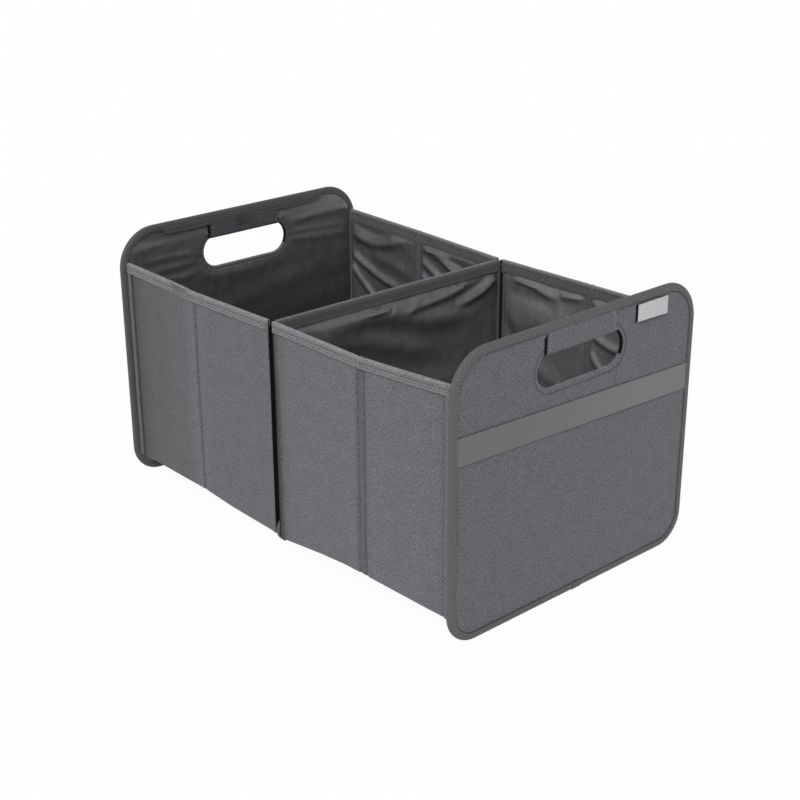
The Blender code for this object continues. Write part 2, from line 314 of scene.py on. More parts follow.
def stitches(name, paths, material, pitch=STITCH_PITCH, length=STITCH_LENGTH, thread=THREAD):
    """Rows of thread stitches, each a small bead of thread. paths are (points, outward, closed)."""
    deselect()
    bpy.ops.mesh.primitive_uv_sphere_add(segments=5, ring_count=4, radius=1)
    bead = bpy.context.object
    shape = read_points(bead.data) * np.array((thread, thread * 0.8, length / 2))
    faces = [tuple(p.vertices) for p in bead.data.polygons]
    bpy.data.objects.remove(bead)
    places = []
    for points, outward, closed in paths:
        points = np.array(points, float)
        total = path_length(points, closed)
        count = max(1, int(round(total / pitch)))
        distances = (np.arange(count) + 0.5) * total / count
        spots, tangents = along(points, distances, closed)
        outward = np.broadcast_to(np.array(outward, float), spots.shape)
        across = np.cross(outward, tangents)
        across /= np.linalg.norm(across, axis=1)[:, None]
        facing = np.cross(tangents, across)
        places.append(
            spots[:, None, :]
            + shape[None, :, 0:1] * across[:, None, :]
            + shape[None, :, 1:2] * facing[:, None, :]
            + shape[None, :, 2:3] * tangents[:, None, :]
        )
    points = np.concatenate(places)
    every = [tuple(k + i * len(shape) for k in face) for i in range(len(points)) for face in faces]
    mesh = bpy.data.meshes.new(name)
    mesh.from_pydata(points.reshape(-1, 3).tolist(), [], every)
    row = bpy.data.objects.new(name, mesh)
    bpy.context.scene.collection.objects.link(row)
    edit_all(row, bpy.ops.mesh.normals_make_consistent, inside=False)
    return finish_piece(row, material, 80)


# Materials

def new_material(name, colour, roughness, **inputs):
    material = bpy.data.materials.new(name)
    material.use_nodes = True
    tree = material.node_tree
    shader = tree.nodes["Principled BSDF"]
    shader.inputs["Base Color"].default_value = (*colour, 1)
    shader.inputs["Roughness"].default_value = roughness
    for key, value in inputs.items():
        shader.inputs[key.replace("_", " ")].default_value = value
    return material, tree, shader


def add_node(tree, kind, **settings):
    node = tree.nodes.new(kind)
    for key, value in settings.items():
        if key in node.inputs:
            node.inputs[key].default_value = value
        else:
            setattr(node, key, value)
    return node


def stripes(tree, source, pitch, direction):
    """A Wave Texture whose bands repeat at this pitch in metres."""
    scale = 2 * math.pi / 20 / pitch
    wave = add_node(tree, "ShaderNodeTexWave", wave_type="BANDS", bands_direction=direction, Scale=scale)
    tree.links.new(source, wave.inputs["Vector"])
    return wave.outputs["Fac"]


def speckle(tree, source, size, stretch, detail=2.0):
    """Noise with spots of about this size, drawn out along the threads."""
    mapping = add_node(tree, "ShaderNodeMapping", Scale=stretch)
    tree.links.new(source, mapping.inputs["Vector"])
    noise = add_node(tree, "ShaderNodeTexNoise", Detail=detail, Roughness=0.6, Scale=1 / size)
    tree.links.new(mapping.outputs["Vector"], noise.inputs["Vector"])
    return noise.outputs["Fac"]


def ramp(tree, source, stops):
    node = add_node(tree, "ShaderNodeValToRGB")
    node.color_ramp.elements[0].position = stops[0][0]
    node.color_ramp.elements[0].color = (*stops[0][1], 1)
    node.color_ramp.elements[1].position = stops[-1][0]
    node.color_ramp.elements[1].color = (*stops[-1][1], 1)
    for place, colour in stops[1:-1]:
        node.color_ramp.elements.new(place).color = (*colour, 1)
    tree.links.new(source, node.inputs["Fac"])
    return node.outputs["Color"]


def combine(tree, operation, a, b):
    node = add_node(tree, "ShaderNodeMath", operation=operation)
    for socket, value in zip(node.inputs, (a, b)):
        if isinstance(value, (int, float)):
            socket.default_value = value
        else:
            tree.links.new(value, socket)
    return node.outputs["Value"]


def raise_bumps(tree, shader, height, distance, strength=1.0):
    bump = add_node(tree, "ShaderNodeBump", Strength=strength, Distance=distance)
    tree.links.new(height, bump.inputs["Height"])
    tree.links.new(bump.outputs["Normal"], shader.inputs["Normal"])


def toned(tree, colour, source, axis, length, stops):
    """The colour, darker or lighter along one axis of the cut as painted shade and light: stops are (place in
    mm, tone).
    """
    parts = add_node(tree, "ShaderNodeSeparateXYZ")
    tree.links.new(source, parts.inputs["Vector"])
    share = combine(tree, "DIVIDE", parts.outputs[axis], length)
    tone = ramp(tree, share, [(place * MM / length, (value,) * 3) for place, value in stops])
    product = add_node(tree, "ShaderNodeVectorMath", operation="MULTIPLY")
    tree.links.new(colour, product.inputs[0])
    tree.links.new(tone, product.inputs[1])
    return product.outputs["Vector"]


def paint(tree, shader, source, colour, dark, light, uv=None, tones=None):
    """The base colour: dark and light are (level of the source, share of the colour) at both ends, and tones
    are its changes along the cut, which paint shade and light onto it."""
    shades = (dark, (0.5, 1), light)
    tone = ramp(tree, source, [(level, tuple(c * share for c in colour)) for level, share in shades])
    if tones:
        tone = toned(tree, tone, uv, *tones)
    tree.links.new(tone, shader.inputs["Base Color"])


def make_woven(
    name, colour, roughness=0.85, contrast=0.62, thread=0.55 * MM, sheen=0.12, specular=0.5, tones=None,
):
    """Melange polyester: plain weave, with lighter and darker yarns in it."""
    material, tree, shader = new_material(
        name, colour, roughness, Sheen_Weight=sheen, Sheen_Roughness=0.5, Specular_IOR_Level=specular,
    )
    uv = add_node(tree, "ShaderNodeTexCoord").outputs["UV"]
    warp = speckle(tree, uv, 1.2 * MM, (0.5, 1.0, 1.0))
    weft = speckle(tree, uv, 1.2 * MM, (1.0, 0.5, 1.0))
    cloud = speckle(tree, uv, 14 * MM, (1.0, 1.0, 1.0), 3.0)
    mixed = combine(tree, "ADD", combine(tree, "MULTIPLY", warp, 0.45), combine(tree, "MULTIPLY", weft, 0.45))
    mixed = combine(tree, "ADD", mixed, combine(tree, "MULTIPLY", cloud, 0.1))
    paint(tree, shader, mixed, colour, (0.34, 1 - contrast), (0.66, 1 + contrast * 1.2), uv, tones)
    weave = combine(tree, "MULTIPLY", stripes(tree, uv, thread, "X"), stripes(tree, uv, thread, "Y"))
    raise_bumps(tree, shader, combine(tree, "ADD", weave, mixed), 0.12 * MM, 0.5)
    return material


def make_lining(name, colour, roughness=0.31, tones=None):
    """Thin coated nylon: dark and smooth, with a soft gloss and the finest crumple."""
    material, tree, shader = new_material(name, colour, roughness, Specular_IOR_Level=1.0)
    uv = add_node(tree, "ShaderNodeTexCoord").outputs["UV"]
    crumple = speckle(tree, uv, 9 * MM, (1.0, 0.6, 1.0), 4.0)
    threads = combine(tree, "ADD", stripes(tree, uv, 0.4 * MM, "X"), stripes(tree, uv, 0.4 * MM, "Y"))
    paint(tree, shader, crumple, colour, (0.3, 0.85), (0.7, 1.2), uv, tones)
    rough = add_node(tree, "ShaderNodeMapRange")
    rough.inputs["To Min"].default_value = roughness - 0.05
    rough.inputs["To Max"].default_value = roughness + 0.08
    tree.links.new(crumple, rough.inputs["Value"])
    tree.links.new(rough.outputs["Result"], shader.inputs["Roughness"])
    threads = combine(tree, "MULTIPLY", threads, 0.15)
    height = combine(tree, "ADD", combine(tree, "MULTIPLY", crumple, 6.0), threads)
    raise_bumps(tree, shader, height, 0.1 * MM, 0.6)
    return material


def make_ribbed(name, colour, roughness, pitch, direction="X", slant=0.0, depth=0.3, tones=None):
    """Narrow woven tape or elastic, with fine ribs across it, along it or on the slant."""
    material, tree, shader = new_material(name, colour, roughness, Sheen_Weight=0.1, Sheen_Roughness=0.5)
    uv = add_node(tree, "ShaderNodeTexCoord").outputs["UV"]
    fleck = speckle(tree, uv, 0.7 * MM, (0.5, 1.0, 1.0))
    source = uv
    if slant:
        parts = add_node(tree, "ShaderNodeSeparateXYZ")
        tree.links.new(uv, parts.inputs["Vector"])
        leaning = combine(tree, "MULTIPLY", parts.outputs["Y"], slant)
        leaning = combine(tree, "ADD", combine(tree, "ADD", leaning, parts.outputs["X"]), pitch / 2)
        joined = add_node(tree, "ShaderNodeCombineXYZ")
        tree.links.new(leaning, joined.inputs["X"])
        source = joined.outputs["Vector"]
    ribs = stripes(tree, source, pitch, direction)
    mixed = combine(
        tree, "ADD", combine(tree, "MULTIPLY", fleck, 1 - depth), combine(tree, "MULTIPLY", ribs, depth)
    )
    paint(tree, shader, mixed, colour, (0.28, 0.62), (0.74, 1.4), uv, tones)
    raise_bumps(tree, shader, mixed, 0.15 * MM, 0.6)
    return material


def make_thread(name, colour):
    material, tree, shader = new_material(name, colour, 0.6, Sheen_Weight=0.2)
    place = add_node(tree, "ShaderNodeTexCoord").outputs["Object"]
    fleck = speckle(tree, place, 2.5 * MM, (1.0, 1.0, 1.0))
    paint(tree, shader, fleck, colour, (0.3, 0.75), (0.7, 1.25))
    return material


MELANGE_GREY = (0.111, 0.105, 0.117)
WALL_GREY = (0.124, 0.118, 0.130)
OUTER = make_woven("grey_melange_cloth", MELANGE_GREY)
# The wrap's tone drops to 0.6 past its turn: painted shade on the leg that faces into the box.
WRAP = make_woven("grip_wrap_cloth_painted_shade", MELANGE_GREY, tones=("Y", 0.05, ((0, 1), (20, 1), (26, 0.6), (46, 0.6))))
BAND = make_woven("inner_band_cloth", (0.074, 0.071, 0.075), contrast=0.35)
# The tones along each wall, counted from the divider, are painted shade: dark by the groove at the divider on
# the right walls, in the crease channel and by the seam at the end panel, and on the left walls a darkening
# towards the end that stands in for light falling off.
WALL_CLOTH = {
    "right": make_woven("right_wall_cloth_painted_shade", WALL_GREY, tones=("X", 0.25, (
        (3, 0.3), (8, 0.5), (12, 0.66), (16, 0.80), (24, 0.93), (60, 0.95), (104, 0.95), (117, 1.0),
        (121, 0.90), (125, 0.66), (128, 0.68), (131, 0.68), (134, 0.62), (137, 0.86), (144, 1.0), (165, 0.96),
        (228, 0.95), (234, 0.86), (236, 0.95), (239, 1.0), (242, 0.9),
    ))),
    "left": make_woven("left_wall_cloth_painted_shade", WALL_GREY, tones=("X", 0.25, (
        (3, 0.92), (6, 0.87), (60, 0.87), (100, 0.86), (116, 0.90), (120, 0.84), (122, 0.66), (124, 0.86),
        (128, 0.92), (133, 0.90), (141, 0.78), (156, 0.67), (170, 0.70), (190, 0.62), (205, 0.62),
        (222, 0.50), (233, 0.38), (234.3, 0.16), (236.4, 0.16), (237.4, 0.75), (240, 0.92), (242, 0.7),
    ))),
}
# The hem is a much lighter copy of the walls' cloth as painted light, because its top faces up: toned
# brightest over the roll's top, with painted shade down both faces, in the groove below the top and along its
# lower edges.
HEM = make_woven("grey_hem_cloth_painted_shading", (0.215, 0.203, 0.214), tones=("Y", 0.03, (
    (0, 0.40), (0.6, 0.52), (2.2, 0.66), (4.4, 0.62), (5.2, 0.46), (6.0, 0.56), (7.5, 0.66), (9.3, 0.88),
    (11.0, 1.0), (13.2, 0.92), (14.8, 0.62), (17.0, 0.46), (28.0, 0.40),
)))
LINING = make_lining("black_nylon_lining", (0.060, 0.057, 0.061))
# These linings are copies of the one black nylon above, each with a lighter base colour as painted light for
# how brightly its piece is lit, the right compartment's walls the most; the end linings are also painted
# darker towards the bottom, as shade deep in the box.
END_LINING = make_lining("end_nylon_lining_painted_shading", (0.094, 0.089, 0.095), tones=("Y", 0.3, (
    (40, 0.32), (120, 0.42), (180, 0.68), (240, 1.0),
)))
DIVIDER_LINING = make_lining("divider_lining_painted_shading", (0.090, 0.086, 0.091))
WALL_LINING = {
    "right": make_lining("right_wall_lining_painted_shading", (0.128, 0.121, 0.128)),
    "left": make_lining("left_wall_lining_painted_shading", (0.088, 0.083, 0.089)),
}
# Near-black with almost no gloss: painted shade, for the deep groove at the divider, the slot's cut edge, the
# gap beside the grip wrap and the gap under the tab.
SHADE_BLACK = make_woven("painted_shade_black_cloth", (0.010, 0.0095, 0.0105), 0.95, 0.2, sheen=0.0, specular=0.05)
WELT = make_woven("dark_welt_tape", (0.080, 0.077, 0.082), contrast=0.4)
# The edge tape darkens towards the groove by the divider, with its sheen off and little gloss so it can go
# that dark: painted shade of the groove.
EDGE_TAPE = make_woven("edge_tape_painted_shade", (0.125, 0.120, 0.129), sheen=0.0, specular=0.1, tones=("X", 0.012, (
    (0, 0.05), (1.4, 0.18), (2.8, 0.36), (4.2, 0.50), (7.0, 0.66), (9.8, 0.85),
)))
TAPE = make_ribbed("ribbed_binding_tape", (0.092, 0.089, 0.091), 0.75, RIB_PITCH, "X", RIB_SLANT, 0.64)
# The left end's binding is a darker copy of the right end's tape: painted shade on the far side.
FAR_TAPE = make_ribbed("far_binding_tape_painted_shade", (0.066, 0.064, 0.066), 0.75, RIB_PITCH, "X", RIB_SLANT, 0.5)
DIVIDER_TAPE = make_ribbed("dark_divider_tape", (0.080, 0.077, 0.079), 0.8, 1.2 * MM)
# The elastic's tone rises from its front end to its rear end: a painted sheen gradient.
STRAP = make_ribbed("grey_elastic_painted_sheen", (0.164, 0.156, 0.155), 0.7, 0.9 * MM, "Y", tones=("X", 0.31, (
    (0, 0.84), (60, 0.82), (160, 0.90), (240, 1.0), (305, 0.97),
)))
TAB = make_woven("pale_satin_tab", (0.52, 0.52, 0.53), 0.55, 0.08, 0.3 * MM)
BOARD = make_woven("grey_fibre_board", (0.20, 0.19, 0.18), 0.9, 0.25, 1.2 * MM, 0.0)
PALE_THREAD = make_thread("pale_grey_thread", (0.30, 0.285, 0.30))
GREY_THREAD = make_thread("grey_thread", (0.17, 0.165, 0.17))
DARK_THREAD = make_thread("dark_thread", (0.026, 0.025, 0.027))


# The side walls

def foot_height(side, x):
    """The walls' lower edge, with a rounded corner by the divider."""
    places = np.array(FOOT_LINE[side]) * MM
    corner = np.clip(1 - (x - NEAR_EDGE[side]) / FOOT_CORNER, 0, 1)
    return np.interp(x, places[:, 0], places[:, 1]) + FOOT_CORNER * (1 - np.sqrt(1 - corner ** 2))


def top_height(side, wall, x):
    """The top of the hem along a wall."""
    places = np.array(TOP_LINE[side, wall]) * MM
    return HEM_HIGH.z + np.interp(x, places[:, 0], places[:, 1])


def mirrored(place, side, wall):
    def placed(u, v):
        x, y, z = place(u, v)
        return x * SIDES[side], y * WALLS[wall], z
    return placed


def turned_foot(v, foot, top, face, turn, share=0.06):
    """Heights and depths up a wall's cloth that turns in under its foot for the first share."""
    angle = (math.pi / 2) * (1 - np.clip(v / share, 0, 1))
    depth = turn * (1 - np.cos(angle))
    height = foot + turn * (1 - np.sin(angle))
    rest = np.clip((v - share) / (1 - share), 0, 1)
    return face - depth, height + (top - foot - turn) * rest


def channel_of(side):
    shift, half_width = CHANNELS[side]
    return CREASE_X + shift, half_width


def wall_face(side, x, z, seed):
    """How far out the wall's cloth stands: rolled in at the divider and at the end, drawn in along
    the two seams of its channel, and full beside them."""
    near, far = NEAR_EDGE[side], FAR_HIGH.x
    channel, half_width = channel_of(side)
    face = CLOTH_HIGH.y + 0.4 * MM * unevenness(x, z, 0.11, seed, 2)
    if side == "right":
        rolled = np.clip(1 - (x - near) / (11 * MM), 0, 1) ** 1.7
        face = face - 1.2 * MM * rolled * smooth(0.01, 0.03, z)
        full, full_width, seam_depth, second, swell = 0.6 * MM, 9 * MM, 1.5 * MM, 1.2 * MM, 0.5 * MM
    else:
        rolled = np.clip(1 - (x - near) / (1.0 * MM), 0, 1)
        face = face - 0.9 * MM * (1 - np.sqrt(1 - rolled ** 2))
        full, full_width, seam_depth, second, swell = 1.3 * MM, 17 * MM, 1.5 * MM, 0.2 * MM, 0.9 * MM
    tucked = np.clip(1 - (far - x) / (1.4 * MM), 0, 1)
    face = face - 1.8 * MM * (1 - np.sqrt(1 - tucked ** 2))
    seam = far - END_SEAM[side]
    face = face - swell * smooth(seam - 26 * MM, seam, x) - 0.8 * MM * bell(x, seam, 1.1 * MM)
    face = face + (0.6 * MM + swell) * smooth(seam + 0.4 * MM, seam + 2.4 * MM, x)
    for seam, depth in ((channel - half_width, seam_depth), (channel + half_width, second)):
        face = face - depth * bell(x, seam, 1.7 * MM)
    face = face - (0.5 * MM if side == "right" else -0.3 * MM) * bell(x, channel, half_width)
    return face + full * bell(x, channel + half_width + full_width, full_width) * smooth(0.02, 0.1, z)


def wall_cloth(side, wall, seed, trimmings):
    """The outer cloth of one wall of a compartment, and the seams that show on it."""
    near, far = NEAR_EDGE[side], FAR_HIGH.x
    sx, sy = SIDES[side], WALLS[wall]
    channel, half_width = channel_of(side)
    seams = (channel - half_width, channel + half_width)
    count = 170
    columns = crowded(near, far, count, (near, *seams, far - END_SEAM[side], far))

    def place(u, v):
        x = columns[np.rint(u * count).astype(int)]
        foot, top = foot_height(side, x), top_height(side, wall, x) - 0.9 * MM
        face = wall_face(side, x, foot + (top - foot) * v, seed)
        y, z = turned_foot(v, foot, top, face, FOOT_TURN)
        return x, y, z

    def laid(u, v):
        return columns[np.rint(u * count).astype(int)], v * CLOTH_HIGH.z

    size = (far - near, CLOTH_HIGH.z - FOOT_LINE[side][1][1] * MM)
    sheet = cloth(
        f"{side}_{wall}_outer_cloth", count, 60, mirrored(place, side, wall), size, WALL_CLOTH[side],
        (0, sy, 0), laid=laid,
    )
    rows = []
    row_places = [seams[0], far - END_SEAM[side], near + 2.4 * MM]
    if side == "right":
        row_places = [*seams, far - END_SEAM[side], near + 10.6 * MM]
    for x in row_places:
        heights = np.linspace(foot_height(side, x) + 3 * MM, top_height(side, wall, x) - 12 * MM, 50)
        xs = np.full_like(heights, x)
        faces = wall_face(side, xs, heights, seed) + 0.1 * MM
        rows.append((points_at(x * sx, faces * sy, heights), (0, sy, 0), False))
    dark = stitches(f"{side}_{wall}_channel_stitching", rows[:-1], DARK_THREAD, thread=0.34 * MM)
    grey = stitches(f"{side}_{wall}_edge_stitching", rows[-1:], GREY_THREAD, thread=0.28 * MM)
    if side == "right":
        trimmings = [*trimmings, wall_edge_tape(side, wall, seed)]
    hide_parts(f"{side}_{wall}_divider_half_cloth", f"{side}_{wall}_end_half_cloth")
    for piece in (sheet, dark, grey):
        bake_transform(piece)


def wall_edge_tape(side, wall, seed):
    """The tape sewn along the wall's edge by the divider, rounded off at its foot, its tone painted darker
    towards the groove as shade.
    """
    near = NEAR_EDGE[side]

    def place(u, v):
        foot = 13.4 * MM + 4.5 * MM * (1 - np.sqrt(1 - np.clip(2 * u - 1, -0.98, 0.98) ** 2))
        z = foot + (top_height(side, wall, near) - 10.5 * MM - foot) * v
        width = (7.0 + 2.8 * smooth(0.22, 0.16, z)) * MM
        x = near - 0.4 * MM + width * u
        under = np.clip(1 - (z - foot) / (3 * MM), 0, 1)
        lift = 0.45 * MM * np.sin(math.pi * np.clip(0.15 + 0.7 * u, 0, 1))
        tucked = 2.0 * MM * (1 - np.sqrt(1 - under ** 2))
        return x, wall_face(side, np.maximum(x, near), z, seed) + lift - tucked, z

    tape = cloth(
        f"{side}_{wall}_edge_tape", 14, 90, mirrored(place, side, wall), (9.8 * MM, WEB_HEIGHT), EDGE_TAPE,
        (0, WALLS[wall], 0),
    )
    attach(tape, f"{side}_{wall}_divider_half")
    return tape


def wall_board(side, wall, half):
    """The stiff board between a wall half's cloth and lining, clear of the channel."""
    name = f"{side}_{wall}_{half}_half"
    low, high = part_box(f"{name}_board")
    channel, half_width = channel_of(side)
    near, far = min(abs(low.x), abs(high.x)), max(abs(low.x), abs(high.x))
    if half == "divider":
        near, far = near + 11 * MM, channel - half_width - 2 * MM
    else:
        near, far = channel + half_width + 2 * MM, far - END_SEAM[side] - 3.5 * MM

    def place(u, v):
        x = near + (far - near) * u
        foot, top = foot_height(side, x) + 4 * MM, top_height(side, wall, x) - 2 * MM
        return x, np.full_like(x, BOARD_HIGH.y - 1.1 * MM), foot + (top - foot) * v

    board = cloth(
        f"{name}_stiffener", 12, 6, mirrored(place, side, wall), (far - near, high.z - low.z),
        BOARD, (0, WALLS[wall], 0), 0.4 * MM,
    )
    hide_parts(f"{name}_board")
    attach(board, name)


# Folds of the linings: height and width in mm, and the places that each runs through, as shares
# of the panel's length (away from the divider, or towards the rear) and height.
WALL_FOLDS = {
    "left_end": (
        (3.4, 6.5, ((1.0, 0.94), (0.9, 0.93), (0.61, 0.90), (0.3, 0.95), (0.06, 1.0))),
        (-1.3, 3.5, ((0.97, 0.99), (0.87, 0.985), (0.5, 0.96), (0.27, 0.98))),
        (3.2, 4.5, ((1.0, 0.85), (0.93, 0.81), (0.71, 0.76), (0.43, 0.71), (0.1, 0.69))),
        (2.8, 4.5, ((1.0, 0.77), (0.92, 0.72), (0.73, 0.64), (0.5, 0.55))),
        (1.5, 8.0, ((0.71, 0.85), (0.35, 0.82), (0.02, 0.79))),
        (2.2, 9.0, ((0.98, 0.55), (0.6, 0.44), (0.3, 0.36))),
        (1.8, 11.0, ((0.1, 0.5), (0.5, 0.3), (0.85, 0.2))),
    ),
    "left_divider": (
        (3.8, 5.0, ((1.0, 1.0), (0.97, 0.995), (0.73, 0.97), (0.47, 0.91), (0.2, 0.83))),
        (2.8, 4.0, ((1.0, 0.93), (0.97, 0.91), (0.72, 0.85), (0.45, 0.75))),
        (2.0, 3.6, ((0.85, 1.0), (0.49, 0.995), (0.1, 1.0))),
        (2.2, 3.5, ((1.0, 0.85), (0.98, 0.83), (0.8, 0.77), (0.65, 0.7))),
        (-1.2, 3.2, ((0.9, 0.985), (0.66, 0.955), (0.3, 0.93))),
        (2.0, 9.0, ((0.95, 0.6), (0.6, 0.45), (0.2, 0.4))),
        (1.6, 10.0, ((0.1, 0.25), (0.5, 0.3), (0.9, 0.22))),
    ),
    "right_divider": (
        (2.8, 4.5, ((0.1, 0.985), (0.35, 0.985), (0.55, 0.955), (0.75, 0.93))),
        (-1.2, 6.0, ((0.05, 0.9), (0.2, 0.9), (0.5, 0.9), (0.72, 0.88))),
        (4.2, 20.0, ((0.05, 0.72), (0.3, 0.79), (0.62, 0.8), (1.0, 0.86))),
        (2.2, 4.5, ((0.7, 0.96), (0.89, 0.975), (1.05, 1.0))),
        (1.8, 9.0, ((0.1, 0.5), (0.45, 0.55), (0.8, 0.44))),
        (1.6, 10.0, ((0.15, 0.3), (0.6, 0.22), (0.95, 0.3))),
    ),
    "right_end": (
        (3.2, 5.0, ((0.0, 1.0), (0.13, 0.98), (0.28, 0.95), (0.6, 0.87))),
        (2.4, 4.0, ((0.0, 0.82), (0.22, 0.77), (0.45, 0.76), (0.75, 0.7))),
        (2.2, 4.0, ((0.0, 0.75), (0.1, 0.67), (0.2, 0.62), (0.45, 0.5))),
        (2.6, 6.0, ((1.0, 0.97), (0.7, 0.93), (0.45, 0.99))),
        (1.8, 9.0, ((0.9, 0.5), (0.5, 0.36), (0.1, 0.32))),
    ),
}
DIVIDER_FOLDS = (
    (3.4, 4.5, ((1.0, 1.0), (0.93, 0.93), (0.87, 0.895), (0.76, 0.87))),
    (3.2, 4.5, ((0.86, 1.0), (0.76, 0.945), (0.67, 0.935), (0.5, 0.93))),
    (-1.3, 3.2, ((0.95, 0.985), (0.86, 0.93), (0.74, 0.9))),
    (-1.9, 1.5, ((0.50, 1.0), (0.475, 0.97), (0.45, 0.935))),
    (-1.6, 1.4, ((0.535, 1.0), (0.515, 0.975), (0.50, 0.955))),
    (1.4, 3.0, ((0.46, 0.98), (0.41, 0.965), (0.33, 0.975))),
    (4.4, 12.0, (
        (0.04, 0.92), (0.25, 0.95), (0.38, 0.955), (0.49, 0.92), (0.61, 0.85), (0.76, 0.83), (0.96, 0.76),
    )),
    (3.2, 12.0, ((0.06, 0.86), (0.25, 0.86), (0.38, 0.82), (0.53, 0.74), (0.75, 0.64))),
    (1.6, 3.6, ((0.64, 0.99), (0.58, 0.96), (0.52, 0.9))),
    (2.6, 14.0, ((0.15, 0.6), (0.5, 0.52), (0.88, 0.46))),
    (2.0, 12.0, ((0.1, 0.34), (0.45, 0.28), (0.8, 0.2))),
)
END_FOLDS = (
    (1.2, 4.0, ((0.0, 0.93), (0.1, 0.94), (0.2, 0.95))),
    (1.3, 3.5, ((0.06, 0.88), (0.15, 0.88), (0.23, 0.88), (0.31, 0.87))),
    (1.5, 4.0, ((0.06, 0.83), (0.2, 0.83), (0.31, 0.84))),
    (1.7, 4.2, ((0.04, 0.77), (0.16, 0.79), (0.25, 0.775), (0.32, 0.81))),
    (1.8, 4.0, ((0.68, 0.91), (0.79, 0.92), (1.0, 0.92))),
    (1.5, 3.5, ((0.68, 0.87), (0.78, 0.86), (1.0, 0.85))),
    (2.2, 5.0, ((0.66, 0.84), (0.82, 0.82), (1.0, 0.80))),
    (1.3, 4.0, ((0.70, 0.97), (0.87, 0.97), (0.98, 0.98))),
    (1.6, 9.0, ((0.28, 0.78), (0.46, 0.76), (0.65, 0.75))),
    (1.6, 10.0, ((0.9, 0.7), (0.6, 0.62), (0.25, 0.6))),
    (1.4, 12.0, ((0.15, 0.4), (0.5, 0.32), (0.85, 0.36))),
)


def wall_lining(side, wall, half, seed):
    """The loose nylon inside half a wall, with its folds standing off the board."""
    divider_half = half == "divider"
    near = LINING_LOW.x + 1.5 * MM if divider_half else CREASE_X + WELT_HALF - 0.8 * MM
    far = CREASE_X - WELT_HALF + 0.8 * MM if divider_half else FAR_HIGH.x
    kind = side if wall == "rear" else {"right": "left", "left": "right"}[side]
    folds = WALL_FOLDS[f"{kind}_{half}"]
    length, height = far - near, HEM_HIGH.z - 12 * MM - LINING_LOW.z

    def place(u, v):
        x = near + length * u
        foot = np.maximum(LINING_LOW.z, foot_height(side, x) + 1.5 * MM)
        top = top_height(side, wall, x) - 12 * MM
        z = foot + (top - foot) * v
        edge = np.minimum(x - near, far - x)
        free = smooth(0, 8 * MM, edge) * smooth(0, 12 * MM, z - foot) * smooth(0, 6 * MM, top - z)
        stand = 1.6 * MM + 0.7 * MM * unevenness(x, z, 0.06, seed, 3)
        stand = stand + 1.7 * all_folds(u, v, folds, (length, height))
        return x, LINING_LOW.y - np.maximum(stand, 0) * free, z

    sheet = cloth(
        f"{side}_{wall}_{half}_half_inner_lining", 72, 104, mirrored(place, side, wall), (length, height),
        WALL_LINING[side], (0, -WALLS[wall], 0), LINING_THICKNESS,
    )
    body = f"{side}_{wall}_{half}_half"
    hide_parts(f"{body}_lining")
    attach(sheet, body)
    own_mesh(sheet)


def hem_section(v):
    """Depth and drop round a hem's section, from its outer edge over the top to its inner edge."""
    outer, inner = HEM_HIGH.y, HEM_LOW.y
    half = (outer - inner) / 2
    middle = (outer + inner) / 2
    outside, inside = 11 * MM - half, 14 * MM - half
    bend = math.pi * half
    total = outside + bend + inside
    s = v * total
    angle = np.clip((s - outside) / half, 0, math.pi)
    over, down = half * np.sin(angle) - half, outside + bend - s - half
    z = np.where(s < outside, s - outside - half, np.where(s < outside + bend, over, down))
    return middle + half * np.cos(angle), z, total


# The hem's rows of stitching: how far below its top, on which face, and where that face looks.
HEM_SEAMS = (
    (6.4 * MM, HEM_HIGH.y, 1),
    (9.3 * MM, HEM_HIGH.y, 1),
    (4.0 * MM, HEM_LOW.y, -1),
    (12.0 * MM, HEM_LOW.y, -1),
)


def wall_hem(side, wall, seed):
    """The folded hem over the top of one wall of a compartment, with a tuck at the channel."""
    near, far = NEAR_EDGE[side] + 0.3 * MM, FAR_HIGH.x
    channel, half_width = channel_of(side)
    width = hem_section(np.zeros(1))[2]

    def place(u, v):
        x = near + (far - near) * u
        y, drop, _ = hem_section(v)
        pucker = 0.16 * MM * np.cos(2 * math.pi * x / STITCH_PITCH) * bell(drop, -8 * MM, 2.5 * MM)
        wave = 0.4 * MM * unevenness(x, v * 0.02, 0.035, seed, 2)
        outward = np.where(v < 0.5, 1.0, -1.0) * smooth(0, -3 * MM, drop)
        tuck = 0.8 * MM * bell(x, channel + 0.6 * half_width, 1.5 * MM)
        tuck = tuck - 0.8 * MM * bell(x, channel, 2.2 * MM)
        tuck = tuck + 0.7 * MM * bell(x, channel - half_width, 1.3 * MM)
        ends = np.clip(1 - np.minimum(x - near, far - x) / (1.6 * MM), 0, 1)
        closed = 1.4 * MM * (1 - np.sqrt(1 - ends ** 2))
        y = y + outward * (pucker + wave * 0.6 - tuck - closed)
        sunk = (0.6 * tuck + 0.6 * closed) * smooth(-6 * MM, 0, drop)
        return x, y, top_height(side, wall, x) + drop + 0.3 * wave - sunk

    hem = cloth(
        f"{side}_{wall}_top_hem", 240, 22, mirrored(place, side, wall), (far - near, width), HEM,
        (0, WALLS[wall], 0), 0.5 * MM, probe=(0.3, 0.1),
    )
    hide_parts(f"{side}_{wall}_divider_half_hem", f"{side}_{wall}_end_half_hem")
    sx, sy = SIDES[side], WALLS[wall]
    rows = []
    span = np.linspace(near + 2 * MM, far - 2 * MM, 90)
    for drop, y, outward in HEM_SEAMS:
        points = points_at(span * sx, (y + outward * 0.12 * MM) * sy, top_height(side, wall, span) - drop)
        rows.append((points, (0, outward * sy, 0), False))
    thread = stitches(f"{side}_{wall}_hem_stitching", rows[:2], PALE_THREAD, thread=0.42 * MM)
    inner = stitches(f"{side}_{wall}_hem_inner_stitching", rows[2:], DARK_THREAD)
    for piece in (hem, thread, inner):
        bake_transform(piece)


